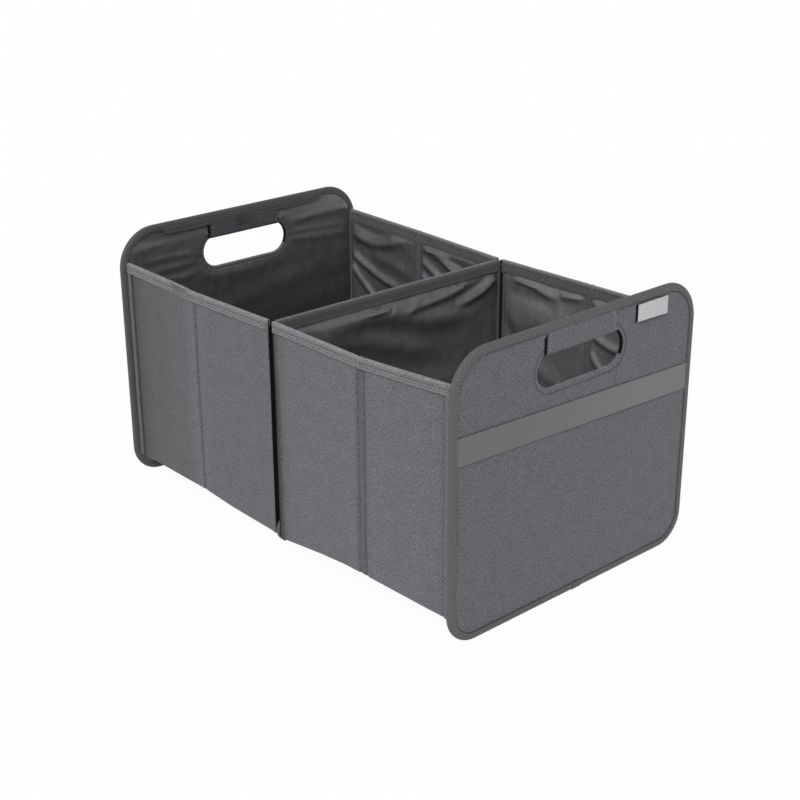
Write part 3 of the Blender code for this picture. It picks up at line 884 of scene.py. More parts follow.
def crease_welt(side, wall):
    """The tape sewn over the crease inside, from the hem down."""
    sx, sy = SIDES[side], WALLS[wall]
    low = float(foot_height(side, CREASE_X)) + 2.5 * MM
    high = top_height(side, wall, CREASE_X) - 12.5 * MM
    seam = WELT_HALF - 1.0 * MM
    level = LINING_LOW.y - 0.3 * MM

    def place(u, v):
        x = CREASE_X + WELT_HALF * (2 * u - 1)
        z = low + (high - low) * v
        across = np.abs(x - CREASE_X) / seam
        rise = 0.8 * MM * np.sqrt(np.clip(1 - across ** 2, 0, 1)) + 0.15 * MM * unevenness(x, z, 0.02, 5, 2)
        return x, level - rise, z

    strip = cloth(
        f"{side}_{wall}_crease_welt", 12, 70, mirrored(place, side, wall), (2 * WELT_HALF, high - low), WELT,
        (0, -sy, 0), 0.4 * MM,
    )
    heights = np.linspace(low + 2 * MM, high - 2 * MM, 40)
    rows = [
        (points_at((CREASE_X + k * seam) * sx, (level - 0.15 * MM) * sy, heights), (0, -sy, 0), False)
        for k in (-1, 1)
    ]
    thread = stitches(f"{side}_{wall}_crease_welt_stitching", rows, GREY_THREAD, thread=0.28 * MM)
    for piece in (strip, thread):
        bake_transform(piece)
    return strip, thread


def groove_web(side, wall):
    """The cloth that joins a wall to the divider and lines the groove between the walls, near-black: the
    lining's dark colour deepened into painted shade of the narrow groove.
    """
    sx, sy = SIDES[side], WALLS[wall]
    inner = LINING_LOW.y
    inset = 5.5 * MM if wall == "front" else 1.2 * MM
    start, end = DIVIDER_TAPE_HIGH.x - 0.4 * MM, 13 * MM
    edge = NEAR_EDGE[side]
    foot, top = foot_height(side, edge) + 1 * MM, HEM_HIGH.z - 6 * MM
    reach = 0.5
    if wall == "rear":
        top, reach = top_height(side, wall, edge) - 0.4 * MM, 0.2

    def inner_place(u, v):
        x = start + (end - start) * u
        y = inner - inset + (inset + 0.7 * MM) * smooth(0, reach, u)
        return x, y, foot + (top - foot) * v

    def outer_place(u, v):
        x = start + (edge + 0.3 * MM - start) * u ** 0.5
        y = inner - inset + (CLOTH_HIGH.y - 1.2 * MM - inner + inset) * u
        return x, y, foot + (top - foot) * v

    web = cloth(
        f"{side}_{wall}_divider_web", 10, 60, mirrored(inner_place, side, wall), (11 * MM, WEB_HEIGHT), SHADE_BLACK,
        (0, sy, 0), LINING_THICKNESS,
    )
    edging = cloth(
        f"{side}_{wall}_groove_edging", 8, 60, mirrored(outer_place, side, wall), (8 * MM, WEB_HEIGHT), SHADE_BLACK,
        (-sx, 0, 0), LINING_THICKNESS,
    )
    for piece in (web, edging):
        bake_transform(piece)


def end_web(side, wall):
    """The narrow seam allowance that joins a wall's end to the end panel."""
    sx, sy = SIDES[side], WALLS[wall]
    start, end = FAR_HIGH.x - 1.2 * MM, END_TAPE_LOW.x + 0.6 * MM

    def place(u, v):
        x = start + (end - start) * u
        y = CLOTH_HIGH.y - 2.4 * MM - 0.5 * MM * np.sin(math.pi * u)
        foot = foot_height(side, FAR_HIGH.x) + 1 * MM
        return x, y, foot + (top_height(side, wall, FAR_HIGH.x) - 3 * MM - foot) * v

    web = cloth(
        f"{side}_{wall}_end_web", 4, 60, mirrored(place, side, wall), (end - start, WEB_HEIGHT), OUTER,
        (0, sy, 0), LINING_THICKNESS,
    )
    if wall == "front":
        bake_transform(web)
    else:
        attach(web, f"{side}_rear_end_half")
    return web


# The end panels

def rounded(half_width, low, high, low_radius, high_radius, count, inset=0.0):
    """Points (y, z) and outward directions round an upright panel, evenly spaced, from the middle
    of its foot towards +Y."""
    half_width, low, high = half_width - inset, low + inset, high - inset
    low_radius, high_radius = max(low_radius - inset, 1e-4), max(high_radius - inset, 1e-4)
    corners = [
        (half_width - low_radius, low + low_radius, low_radius, -90),
        (half_width - high_radius, high - high_radius, high_radius, 0),
        (-half_width + high_radius, high - high_radius, high_radius, 90),
        (-half_width + low_radius, low + low_radius, low_radius, 180),
    ]
    points, headings = [(0.0, low)], [-90.0]
    for y, z, radius, start in corners:
        for k in range(25):
            turn = start + 90 * k / 24
            heading = math.radians(turn)
            points.append((y + radius * math.cos(heading), z + radius * math.sin(heading)))
            headings.append(turn)
    points.append((0.0, low))
    headings.append(270.0)
    points, headings = np.array(points), np.array(headings)
    reach = np.concatenate([[0], np.cumsum(np.linalg.norm(np.diff(points, axis=0), axis=1))])
    spots = np.linspace(0, reach[-1], count + 1)
    turn = np.radians(np.interp(spots, reach, headings))
    return (
        np.stack([np.interp(spots, reach, points[:, i]) for i in range(2)], axis=1),
        np.stack([np.cos(turn), np.sin(turn)], axis=1), float(reach[-1]),
    )


def end_rim(count, inset=0.0):
    low, high = END_TAPE_LOW, END_TAPE_HIGH
    return rounded(high.y, low.z, high.z, END_LOW_RADIUS, END_HIGH_RADIUS, count, inset)


def divider_drop(y):
    """How far the divider's top hangs under its full height, more at the rear."""
    share = np.clip((y / DIVIDER_TAPE_HIGH.y + 1) / 2, 0, 1)
    return DIVIDER_DROP_FRONT + (DIVIDER_DROP_REAR - DIVIDER_DROP_FRONT) * share


def divider_rim(count, inset=0.0):
    points, facing, total = rounded(
        DIVIDER_TAPE_HIGH.y, DIVIDER_TAPE_LOW.z, DIVIDER_TAPE_HIGH.z, DIVIDER_LOW_RADIUS, DIVIDER_HIGH_RADIUS,
        count, inset,
    )
    y, z = points[:, 0].copy(), points[:, 1].copy()
    recess = DIVIDER_RECESS - (DIVIDER_RECESS - DIVIDER_TOP_RECESS) * smooth(0.20, 0.23, z)
    points[:, 0] += recess * smooth(16 * MM, 34 * MM, z) * smooth(-0.10, -0.14, y)
    points[:, 0] -= DIVIDER_REAR_RECESS * smooth(0.10, 0.14, y)
    points[:, 1] -= divider_drop(y) * smooth(0.12, 0.22, z)
    points[:, 1] += DIVIDER_FOOT_LIFT * away_from_middle(y) * smooth(0.05, 0.01, z)
    return points, facing, total


def away_from_middle(y):
    """0 along the divider's foot, and 1 at its corners, where the foot is lifted."""
    return smooth(0.085, 0.14, np.abs(y))


def divider_leg(y, z):
    """The share of the tape's full depth that shows: less down the front and rear edges."""
    upright = smooth(0.137, 0.144, np.abs(y)) * smooth(16 * MM, 30 * MM, z) * smooth(0.235, 0.225, z)
    return 1 - (1 - DIVIDER_LEG_SHARE) * upright


def tape_section(low, high, depth, count):
    """(x, inset) round a folded tape: its rounded outside, then back along its inside."""
    middle, half = (low + high) / 2, (high - low) / 2
    outside = []
    outer_count = count - 5
    for k in range(outer_count):
        t = -1 + 2 * k / (outer_count - 1)
        if abs(t) > 0.55:
            inset = depth - (depth - half) * (1 - abs(t)) / 0.45
            outside.append((middle + math.copysign(half, t), inset))
        else:
            turn = (t / 0.55) * math.pi / 2
            outside.append((middle + half * math.sin(turn), half * (1 - math.cos(turn) ** 0.8)))
    wall = 0.8 * MM
    inside = [
        (high - wall, depth), (high - wall, half * 0.6), (middle, wall), (low + wall, half * 0.6),
        (low + wall, depth),
    ]
    return np.array(outside + inside), outer_count


def binding(name, rim, low, high, depth, material, rib, slant, pitch, leg=None, lap=0.0, seed=1):
    """A ribbed tape folded over a panel's edge and closed round it, slightly uneven where it was
    sewn, with its end lapped over its start at the foot."""
    section, outer_count = tape_section(low, high, depth, 19)
    length = rim(400)[2]
    ribs = int(round(length / pitch))
    count = ribs * STATIONS_PER_RIB
    total = len(section)
    sides = np.diff(np.vstack([section, section[:1]]), axis=0)
    steps = np.concatenate([[0], np.cumsum(np.linalg.norm(sides, axis=1))])
    edge, facing, _ = rim(count)
    middle, half = (low + high) / 2, (high - low) / 2

    def place(u, v):
        station = np.rint(u * count).astype(int)
        k = np.rint(v * total).astype(int) % total
        x, inset = section[k, 0], section[k, 1]
        s = steps[k]
        y, z = edge[station, 0], edge[station, 1]
        ny, nz = facing[station, 0], facing[station, 1]
        reach = u * length
        phase = 2 * math.pi * (u * ribs + slant * (s / pitch))
        outer = k < outer_count
        lapped = lap * (station > 0) * smooth(13 * MM, 11 * MM, reach)
        ridge = rib * np.cos(phase) * outer + lapped
        wobble = 0.35 * MM * unevenness(reach, s, 0.03, seed, 2) * outer * smooth(2 * MM, 5 * MM, inset)
        side_share = np.clip((x - middle) / half, -1, 1)
        edge_share = np.sqrt(np.clip(1 - side_share ** 2, 0, 1)) * (inset < half * 1.01)
        flank = np.sign(side_share) * np.sqrt(np.clip(1 - edge_share ** 2, 0, 1))
        swing = wobble * smooth(depth - 4 * MM, depth, inset)
        if leg is not None:
            inset = np.where(inset > half, half + (inset - half) * leg(y, z), inset)
        inset = inset - ridge * edge_share + swing
        return x + flank * ridge, y - ny * inset, z - nz * inset

    def laid(u, v):
        return u * length, steps[np.rint(v * total).astype(int)]

    tape = cloth(
        name, count, total, place, (length, steps[-1]), material, (1, 0, 0), 0, probe=(0.4, 0.5), ring=True,
        laid=laid,
    )
    edit_all(tape, bpy.ops.mesh.normals_make_consistent, inside=False)
    finish_piece(tape, material, 60)
    return tape, length, float(steps[-1])


def slot_distance(y, z):
    """How far a point of the panel is outside the slot's edge."""
    past = np.maximum(np.abs(y) - (SLOT_HALF_LENGTH - SLOT_RADIUS), 0)
    return np.hypot(past, z - SLOT_Z) - SLOT_RADIUS


def panel_rays(count):
    """Directions all round, from the slot's centre or a mat's, the last on the first."""
    angle = 2 * math.pi * np.linspace(0, 1, count + 1)
    return np.cos(angle), np.sin(angle)


def reach_to(inside, cy, cz, limit):
    """Distance along each ray until inside() turns false, by halving."""
    low, high = np.zeros_like(cy), np.full_like(cy, limit)
    for _ in range(40):
        middle = (low + high) / 2
        within = inside(cy * middle, SLOT_Z + cz * middle)
        low, high = np.where(within, middle, low), np.where(within, high, middle)
    return low


def in_panel(inset):
    half = END_TAPE_HIGH.y - inset
    low, high = END_TAPE_LOW.z + inset, END_TAPE_HIGH.z - inset
    low_radius, high_radius = END_LOW_RADIUS - inset, END_HIGH_RADIUS - inset

    def test(y, z):
        y = np.abs(y)
        upper = z > (low + high) / 2
        radius = np.where(upper, high_radius, low_radius)
        beyond_y = y - (half - radius)
        beyond_z = np.where(upper, z - high + high_radius, low + low_radius - z)
        corner = (beyond_y > 0) & (beyond_z > 0)
        return np.where(corner, np.hypot(beyond_y, beyond_z) < radius, (y < half) & (z > low) & (z < high))

    return test


def slot_reach(distance, cy, cz):
    """How far along each ray a line lies this far outside the slot's edge."""
    return reach_to(lambda y, z: slot_distance(y, z) < distance, cy, cz, 0.2)


# The outer cloth's turn through the slot to its hem inside: distance outside the slot's edge and
# depth behind the outer face, in mm.
SLOT_TURN = (
    (2.8, 3.95), (2.0, 4.1), (0.8, 4.1), (0.0, 3.8), (-0.4, 3.1), (-0.4, 2.1), (-0.4, 1.3), (0, 0.5),
    (0.7, 0.12),
)


def end_sheet(name, side, face, facing, turn, start, height, material, rays, rings, thickness=SHEET_THICKNESS):
    """A panel's cloth with the slot cut in it, from a start this far outside the slot's edge.
    turn is its way through the slot, height(y, z) is how far it stands off, and facing is 1 for
    the outside."""
    cy, cz = panel_rays(rays)
    near = slot_reach(start, cy, cz)
    far = reach_to(in_panel(PANEL_MARGIN), cy, cz, 0.4)
    turned = np.array([slot_reach(distance * MM, cy, cz) for distance, _ in turn])
    depths = np.array([depth * MM for _, depth in turn])
    total_rings = rings + len(turn)

    def place(u, v):
        ray = np.rint(u * rays).astype(int)
        ring = np.rint(v * total_rings).astype(int)
        out = np.clip((ring - len(turn)) / rings, 0, 1)
        out = 0.3 * out + 0.7 * out ** 2.2
        a = near[ray] + (far[ray] - near[ray]) * out
        depth = np.zeros_like(a)
        if turn:
            k = np.clip(ring, 0, len(turn) - 1)
            a = np.where(ring < len(turn), turned[k, ray], a)
            depth = np.where(ring < len(turn), depths[k], 0)
        y, z = cy[ray] * a, SLOT_Z + cz[ray] * a
        stand = height(y, z) * (ring >= len(turn))
        return (face + facing * (stand - depth)) * SIDES[side], y, z

    def laid(u, v):
        _, y, z = place(u, v)
        return y, z

    return cloth(
        name, rays, total_rings, place, (1, 1), material, (facing * SIDES[side], 0, 0), thickness,
        probe=(0.75, 0.8), ring=True, laid=laid,
    )


def slot_loop(offset, x, count=120):
    """A loop round the slot, this far outside its edge."""
    angle = np.linspace(0, 2 * math.pi, count, endpoint=False)
    cy, cz = np.cos(angle), np.sin(angle)
    a = slot_reach(offset, cy, cz)
    return points_at(x, cy * a, SLOT_Z + cz * a)


def paint_slot_shadow(sheet):
    """The cloth's faces within the slot's thickness, at its rounded ends and upper part, are painted black:
    painted shadow in the slot's cut edge.
    """
    mesh = sheet.data
    mesh.materials.append(SHADE_BLACK)
    centres = np.zeros(len(mesh.polygons) * 3)
    mesh.polygons.foreach_get("center", centres)
    x, y, z = np.abs(centres[0::3]), centres[1::3], centres[2::3]
    depth = END_CLOTH_HIGH.x - x
    within = (slot_distance(y, z) < 0.7 * MM) & (depth > 0.3 * MM) & (depth < 4.0 * MM)
    within &= (np.abs(y) > 41 * MM) & (z > SLOT_Z - 9 * MM)
    mesh.polygons.foreach_set("material_index", within.astype(np.int32))


def make_end(side):
    sx = SIDES[side]
    body = f"{side}_end"

    def outer_height(y, z):
        away = slot_distance(y, z)
        calm = smooth(0, 12 * MM, away)
        seam = -0.4 * MM * bell(away, SLOT_SEAM, 1.2 * MM) + 0.15 * MM * bell(away, SLOT_SEAM / 2, 1.5 * MM)
        return 0.3 * MM * unevenness(y, z, 0.12, 21, 2) * calm + seam + 0.1 * MM

    outer = end_sheet(
        f"{side}_end_outer_cloth", side, END_CLOTH_HIGH.x, 1, SLOT_TURN, 1.8 * MM, outer_height, OUTER,
        300, 44,
    )
    # Painted shadow in the slot's cut edge.
    paint_slot_shadow(outer)
    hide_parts(f"{side}_end_cloth")
    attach(outer, body)

    size = (2 * END_TAPE_HIGH.y, END_TAPE_HIGH.z - 2 * END_TAPE_DEPTH)

    def inner_height(y, z):
        away = slot_distance(y, z)
        share_y, share_z = y / size[0] + 0.5, (z - END_TAPE_DEPTH) / size[1]
        standing = 0.7 * all_folds(share_y, share_z, END_FOLDS, size) * smooth(3 * MM, 12 * MM, away)
        around = np.arctan2(z - SLOT_Z, np.abs(y) - SLOT_HALF_LENGTH + SLOT_RADIUS)
        pucker = 0.16 * MM * np.cos(19 * around) * bell(away, 7 * MM, 3.5 * MM)
        pucker = pucker * smooth(0.03, 0.045, np.abs(y))
        loose = 0.8 * MM * unevenness(y * 0.4, z, 0.05, 33, 2) * smooth(3 * MM, 15 * MM, away)
        border = smooth(0, 10 * MM, END_TAPE_HIGH.y - END_TAPE_DEPTH - np.abs(y))
        border = border * smooth(0, 10 * MM, z - END_TAPE_DEPTH)
        border = border * smooth(0, 10 * MM, END_TAPE_HIGH.z - 14 * MM - z)
        return np.maximum(0.9 * MM + standing + pucker + loose, 0) * border * smooth(1.5 * MM, 5 * MM, away)

    inner = end_sheet(
        f"{side}_end_inner_lining", side, END_LINING_LOW.x, -1, (), 0.8 * MM, inner_height, END_LINING,
        320, 64, LINING_THICKNESS,
    )
    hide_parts(f"{side}_end_lining")
    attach(inner, body)
    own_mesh(inner)

    tape, length, width = binding(
        f"{side}_end_edge_binding", end_rim, END_TAPE_LOW.x, END_TAPE_HIGH.x, END_TAPE_DEPTH,
        TAPE if sx > 0 else FAR_TAPE, RIB_HEIGHT, RIB_SLANT, RIB_PITCH, lap=0.5 * MM, seed=41,
    )
    if sx < 0:
        write_points(tape.data, read_points(tape.data) * (-1, 1, 1))
        edit_all(tape, bpy.ops.mesh.flip_normals)
    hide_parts(f"{side}_end_binding")
    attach(tape, body)

    def rim_row(inset, x):
        points = end_rim(300, inset)[0][:-1]
        return points_at(x * sx, points[:, 0], points[:, 1])

    outside, inside = (sx, 0, 0), (-sx, 0, 0)
    edge_thread = stitches(
        f"{side}_end_edge_stitching",
        [(rim_row(END_TAPE_DEPTH + 0.7 * MM, END_CLOTH_HIGH.x + 0.3 * MM), outside, True),
         (rim_row(END_TAPE_DEPTH + 0.3 * MM, END_LINING_LOW.x - 0.25 * MM), inside, True)],
        DARK_THREAD, thread=0.5 * MM,
    )
    tape_thread = stitches(
        f"{side}_end_tape_stitching",
        [(rim_row(inset, x), facing, True)
         for inset in TAPE_SEAMS
         for x, facing in ((END_TAPE_HIGH.x + 0.25 * MM, outside), (END_TAPE_LOW.x - 0.25 * MM, inside))],
        GREY_THREAD, thread=0.26 * MM,
    )
    slot_thread = stitches(
        f"{side}_slot_stitching",
        [(slot_loop(SLOT_SEAM, (END_CLOTH_HIGH.x + 0.1 * MM) * sx), outside, True),
         (slot_loop(2.0 * MM, (END_CLOTH_HIGH.x - 4.2 * MM) * sx), inside, True)],
        DARK_THREAD, thread=0.5 * MM,
    )
    lap_x, lap_y = (END_TAPE_HIGH.x + 0.5 * MM) * sx, -0.2 * MM
    lap_thread = stitches(
        f"{side}_lap_stitching", [([(lap_x, lap_y, 0.9 * MM), (lap_x, lap_y, 6.6 * MM)], outside, False)],
        DARK_THREAD, pitch=1.9 * MM, length=2.0 * MM,
    )
    for thread in (edge_thread, tape_thread, slot_thread, lap_thread):
        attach(thread, body)

    make_top_band(side)
    make_wrap(side)


def make_top_band(side):
    """The strip of cloth sewn under the binding inside, along the top of the panel."""
    sx = SIDES[side]
    half, low, high = 114 * MM, END_TAPE_HIGH.z - 12.4 * MM, END_TAPE_HIGH.z - 1.8 * MM
    level = END_TAPE_LOW.x - 0.5 * MM

    def place(u, v):
        y = half * (2 * u - 1)
        end = smooth(0, 14 * MM, half - np.abs(y))
        v = 1 - (1 - v) * (0.15 + 0.85 * end)
        dip = 0.35 * MM * bell(v, 0.22, 0.09)
        swell = 0.35 * MM * np.sin(math.pi * np.clip(v, 0, 0.9)) * end
        return (level - swell + dip) * sx, y, low + (high - low) * v

    band = cloth(
        f"{side}_end_inner_top_band", 110, 10, place, (2 * half, high - low), BAND, (-sx, 0, 0), 0.4 * MM,
    )
    span = np.linspace(-half + 3 * MM, half - 3 * MM, 60)
    thread = stitches(
        f"{side}_top_band_stitching",
        [(points_at((level - 0.2 * MM) * sx, span, low + 1.8 * MM), (-sx, 0, 0), False)],
        GREY_THREAD, thread=0.26 * MM,
    )
    for piece in (band, thread):
        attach(piece, f"{side}_end")


def make_wrap(side):
    """The doubled cloth sewn round the grip over the slot; near-black strips beside its front edge paint the
    shadow of the gap there.
    """
    sx = SIDES[side]
    half_length = WRAP_HIGH.y
    outer_x, inner_x = WRAP_HIGH.x, WRAP_LOW.x
    half = (outer_x - inner_x) / 2
    middle = (outer_x + inner_x) / 2
    top = WRAP_HIGH.z
    low = WRAP_LOW.z
    leg = top - low - half
    total = 2 * leg + math.pi * half

    def place(u, v):
        s = v * total
        angle = np.clip((s - leg) / half, 0, math.pi)
        x = middle + half * np.cos(angle)
        rising = s > leg + math.pi * half
        z = np.where(s < leg, top - s, np.where(rising, top - (total - s), low + half - half * np.sin(angle)))
        y = half_length * (2 * u - 1)
        edge = half_length - np.abs(y)
        puff = 0.5 * MM * smooth(0, 5 * MM, edge) + 0.25 * MM * unevenness(y, s, 0.04, 51, 2)
        seam = -0.6 * MM * bell(edge, 3.4 * MM, 0.9 * MM) + 0.2 * MM * bell(edge, 1.2 * MM, 1.2 * MM)
        share = np.where(s < leg, 1.0, np.where(rising, -1.0, np.cos(angle)))
        return (x + share * (puff + seam)) * sx, y, z

    wrap = cloth(
        f"{side}_grip_wrap", 90, 40, place, (2 * half_length, total), WRAP, (sx, 0, 0), 0.8 * MM,
        probe=(0.5, 0.05),
    )
    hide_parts(f"{side}_handle_wrap")
    rows = []
    for y in (-half_length + 3.4 * MM, half_length - 3.4 * MM):
        for x, facing in ((outer_x + 0.05 * MM, 1), (inner_x - 0.05 * MM, -1)):
            heights = np.linspace(low + 3 * MM, top - 1 * MM, 12)
            rows.append((points_at(x * sx, y, heights), (facing * sx, 0, 0), False))
    thread = stitches(f"{side}_wrap_stitching", rows, PALE_THREAD, thread=0.28 * MM)

    # Near-black strips outside and inside the panel beside the wrap's front edge: painted shadow of the gap
    # there.
    def shadow_slit_place(u, v):
        inward = v > 0.5
        across = np.where(inward, 2 * v - 1, 2 * v)
        y = -half_length - 3.3 * MM + 3.5 * MM * across
        z = SLOT_Z + SLOT_RADIUS - 4 * MM * (1 - across) + (top - 1.5 * MM - SLOT_Z - SLOT_RADIUS) * u
        return np.where(inward, END_LINING_LOW.x - 0.75 * MM, END_CLOTH_HIGH.x + 0.45 * MM) * sx, y, z

    shadow_slits = []
    for name, share, facing in (("outer", 0.0, sx), ("inner", 0.5, -sx)):
        shadow_slits.append(cloth(
            f"{side}_grip_{name}_slit", 12, 3,
            lambda u, v, share=share: shadow_slit_place(u, share + 0.0001 + 0.4998 * v),
            (3.5 * MM, 20 * MM), SHADE_BLACK, (facing, 0, 0), 0.2 * MM,
        ))
    for piece in (wrap, thread, *shadow_slits):
        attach(piece, f"{side}_end")
    make_grip_patch(side)


def make_grip_patch(side):
    """The small square of dark tape sewn on the inside of the grip's wrap."""
    sx = SIDES[side]
    low, high = WRAP_HIGH.z - 12 * MM, WRAP_HIGH.z - 0.2 * MM
    size = (17 * MM, high - low)

    def place(u, v):
        y, z = size[0] * u - 11 * MM, low + size[1] * v
        return (WRAP_LOW.x - 0.95 * MM - 0.2 * MM * np.sin(math.pi * u)) * sx, y, z

    patch = cloth(f"{side}_grip_patch", 16, 12, place, size, LINING, (-sx, 0, 0), 0.4 * MM)
    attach(patch, f"{side}_end")


def make_strap():
    """The elastic strap, sewn in under the binding at both sides."""
    low, high = STRAP_LOW, STRAP_HIGH
    half_span = high.y
    half_width = 13 * MM
    front, rear = high.z - half_width, low.z + half_width

    def place(u, v):
        y = half_span * (2 * u - 1)
        across = 2 * v - 1
        z = front + (rear - front) * u + across * half_width
        lift = 0.25 * MM + 0.35 * MM * (1 - across ** 2) + 0.1 * MM * unevenness(y, z, 0.05, 61, 2)
        held = smooth(0, 8 * MM, half_span - np.abs(y))
        return low.x + 0.6 * MM + lift * held, y, z

    size = (2 * half_span, 2 * half_width)
    strap = cloth("elastic_cross_strap", 150, 16, place, size, STRAP, (1, 0, 0), 0.8 * MM)
    span = np.linspace(-half_span + 1 * MM, half_span - 1 * MM, 60)
    heights = front + (rear - front) * (span / half_span + 1) / 2
    # Dark beads along both edges of the strap: painted shadow lines where its edges stand off the cloth.
    selvages = [
        (points_at(low.x + 0.2 * MM, span, heights + k * (half_width + 0.2 * MM)), (1, 0, 0), False)
        for k in (1, -1)
    ]
    edge = stitches(
        "strap_edge_painted_shadow", selvages, DARK_THREAD, pitch=2.4 * MM, length=2.7 * MM, thread=0.42 * MM,
    )
    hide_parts("elastic_strap")
    for piece in (strap, edge):
        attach(piece, "right_end")


def make_tab():
    """The blank tab: a doubled piece of ribbon, bowed out from where it is sewn down at its rear end."""
    low, high = TAB_LOW, TAB_HIGH

    def place(u, v):
        y = low.y + (high.y - low.y) * u
        z = low.z + 0.9 * MM + (high.z - low.z - 1.8 * MM) * v
        bow = 1.7 * MM * np.sin(math.pi * np.clip(0.12 + 0.88 * u, 0, 1)) ** 0.8
        x = low.x + 0.7 * MM + bow + 0.15 * MM * unevenness(y, z, 0.03, 71, 2)
        return x, y, z + 0.5 * MM * np.sin(math.pi * u) - 1.2 * MM * u ** 2 * (1.3 - v)

    tab = cloth("blank_ribbon_tab", 40, 16, place, (high.y - low.y, high.z - low.z), TAB, (1, 0, 0), 0.7 * MM)

    # A near-black strip under the tab's free front edge: painted shadow of the gap under the bowed tab.
    def under_place(u, v):
        y = low.y - 2.4 * MM + 8 * MM * u
        z = low.z + 0.6 * MM + (high.z - low.z - 1.4 * MM) * v
        return END_CLOTH_HIGH.x + 0.45 * MM + 0.2 * MM * u, y, z

    under = cloth("ribbon_tab_painted_shadow", 6, 12, under_place, (8 * MM, high.z - low.z), SHADE_BLACK, (1, 0, 0), 0.2 * MM)
    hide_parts("label_tab")
    for piece in (tab, under):
        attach(piece, "right_end")


# The divider

def divider_lining(side, seed):
    sx = SIDES[side]
    face = DIVIDER_LINING_HIGH.x
    front, rear = DIVIDER_LINING_LOW.y + DIVIDER_RECESS + 2 * MM, DIVIDER_LINING_HIGH.y - 3.5 * MM
    length = rear - front
    low, high = DIVIDER_LINING_LOW.z + 2 * MM, DIVIDER_LINING_HIGH.z - 1 * MM

    def place(u, v):
        y = front + length * u
        foot = low + 7 * MM * away_from_middle(y)
        top = high - divider_drop(y)
        z = foot + (top - foot) * v
        free = smooth(3 * MM, 13 * MM, np.minimum(y - front, rear - y))
        free = free * smooth(9 * MM, 22 * MM, z - low) * smooth(11 * MM, 15 * MM, top - z)
        share_y = u if side == "right" else 1 - u
        share_z = (z - 20 * MM) / DIVIDER_FOLDED_HEIGHT
        folds = 1.5 * all_folds(share_y, share_z, DIVIDER_FOLDS, (length, DIVIDER_FOLDED_HEIGHT))
        stand = 1.6 * MM + 0.8 * MM * unevenness(y, z, 0.08, seed, 3) + folds
        return (face + np.maximum(stand, 0) * free) * sx, y, z

    sheet = cloth(
        f"divider_{side}_loose_lining", 150, 118, place, (length, high - low), DIVIDER_LINING,
        (sx, 0, 0), LINING_THICKNESS,
    )
    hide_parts(f"divider_{side}_lining")
    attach(sheet, "divider")
    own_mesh(sheet)


def make_divider():
    tape, length, width = binding(
        "divider_edge_binding", divider_rim, DIVIDER_TAPE_LOW.x, DIVIDER_TAPE_HIGH.x, DIVIDER_TAPE_DEPTH,
        DIVIDER_TAPE, 0.1 * MM, 0.0, 2.6 * MM, leg=divider_leg, seed=43,
    )
    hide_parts("divider_binding")

    front, rear = DIVIDER_TAPE_LOW.y + DIVIDER_RECESS + 1.5 * MM, DIVIDER_TAPE_HIGH.y - 3 * MM
    low, high = DIVIDER_BOARD_LOW.z + 2 * MM, DIVIDER_BOARD_HIGH.z

    def board_place(u, v):
        y = front + (rear - front) * u
        foot = low + 8 * MM * away_from_middle(y)
        return np.full_like(y, DIVIDER_BOARD_HIGH.x), y, foot + (high - divider_drop(y) - 1 * MM - foot) * v

    board = cloth(
        "divider_stiffener", 24, 12, board_place, (rear - front, high - low), BOARD, (1, 0, 0),
        DIVIDER_BOARD_HIGH.x - DIVIDER_BOARD_LOW.x,
    )
    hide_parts("divider_board")
    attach(board, "divider")

    rows = []
    points, facing, _ = divider_rim(400)
    legs = divider_leg(points[:, 0], points[:, 1])[:, None]
    for depth in (3.4 * MM, 10.6 * MM):
        inset = np.minimum(depth, 2 * MM + (depth - 2 * MM) * legs)
        spots = (points - facing * inset)[:-1]
        for turn in (1, -1):
            x = turn * (DIVIDER_TAPE_HIGH.x + 0.1 * MM)
            rows.append((points_at(x, spots[:, 0], spots[:, 1]), (turn, 0, 0), True))
    thread = stitches("divider_tape_stitching", rows, GREY_THREAD, thread=0.28 * MM)
    span = np.linspace(DIVIDER_TAPE_LOW.y + DIVIDER_TOP_RECESS + 4 * MM, DIVIDER_TAPE_HIGH.y - 5 * MM, 60)
    top = DIVIDER_TAPE_HIGH.z - 0.3 * MM - divider_drop(span)
    beads = stitches(
        "divider_top_beads",
        [(points_at(x, span, top), (0, 0, 1), False) for x in (1.3 * MM, -1.3 * MM)],
        PALE_THREAD, pitch=2.4 * MM, length=1.7 * MM, thread=0.45 * MM,
    )
    for piece in (tape, thread, beads):
        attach(piece, "divider")
    divider_lining("right", 81)
    divider_lining("left", 82)


# The floor

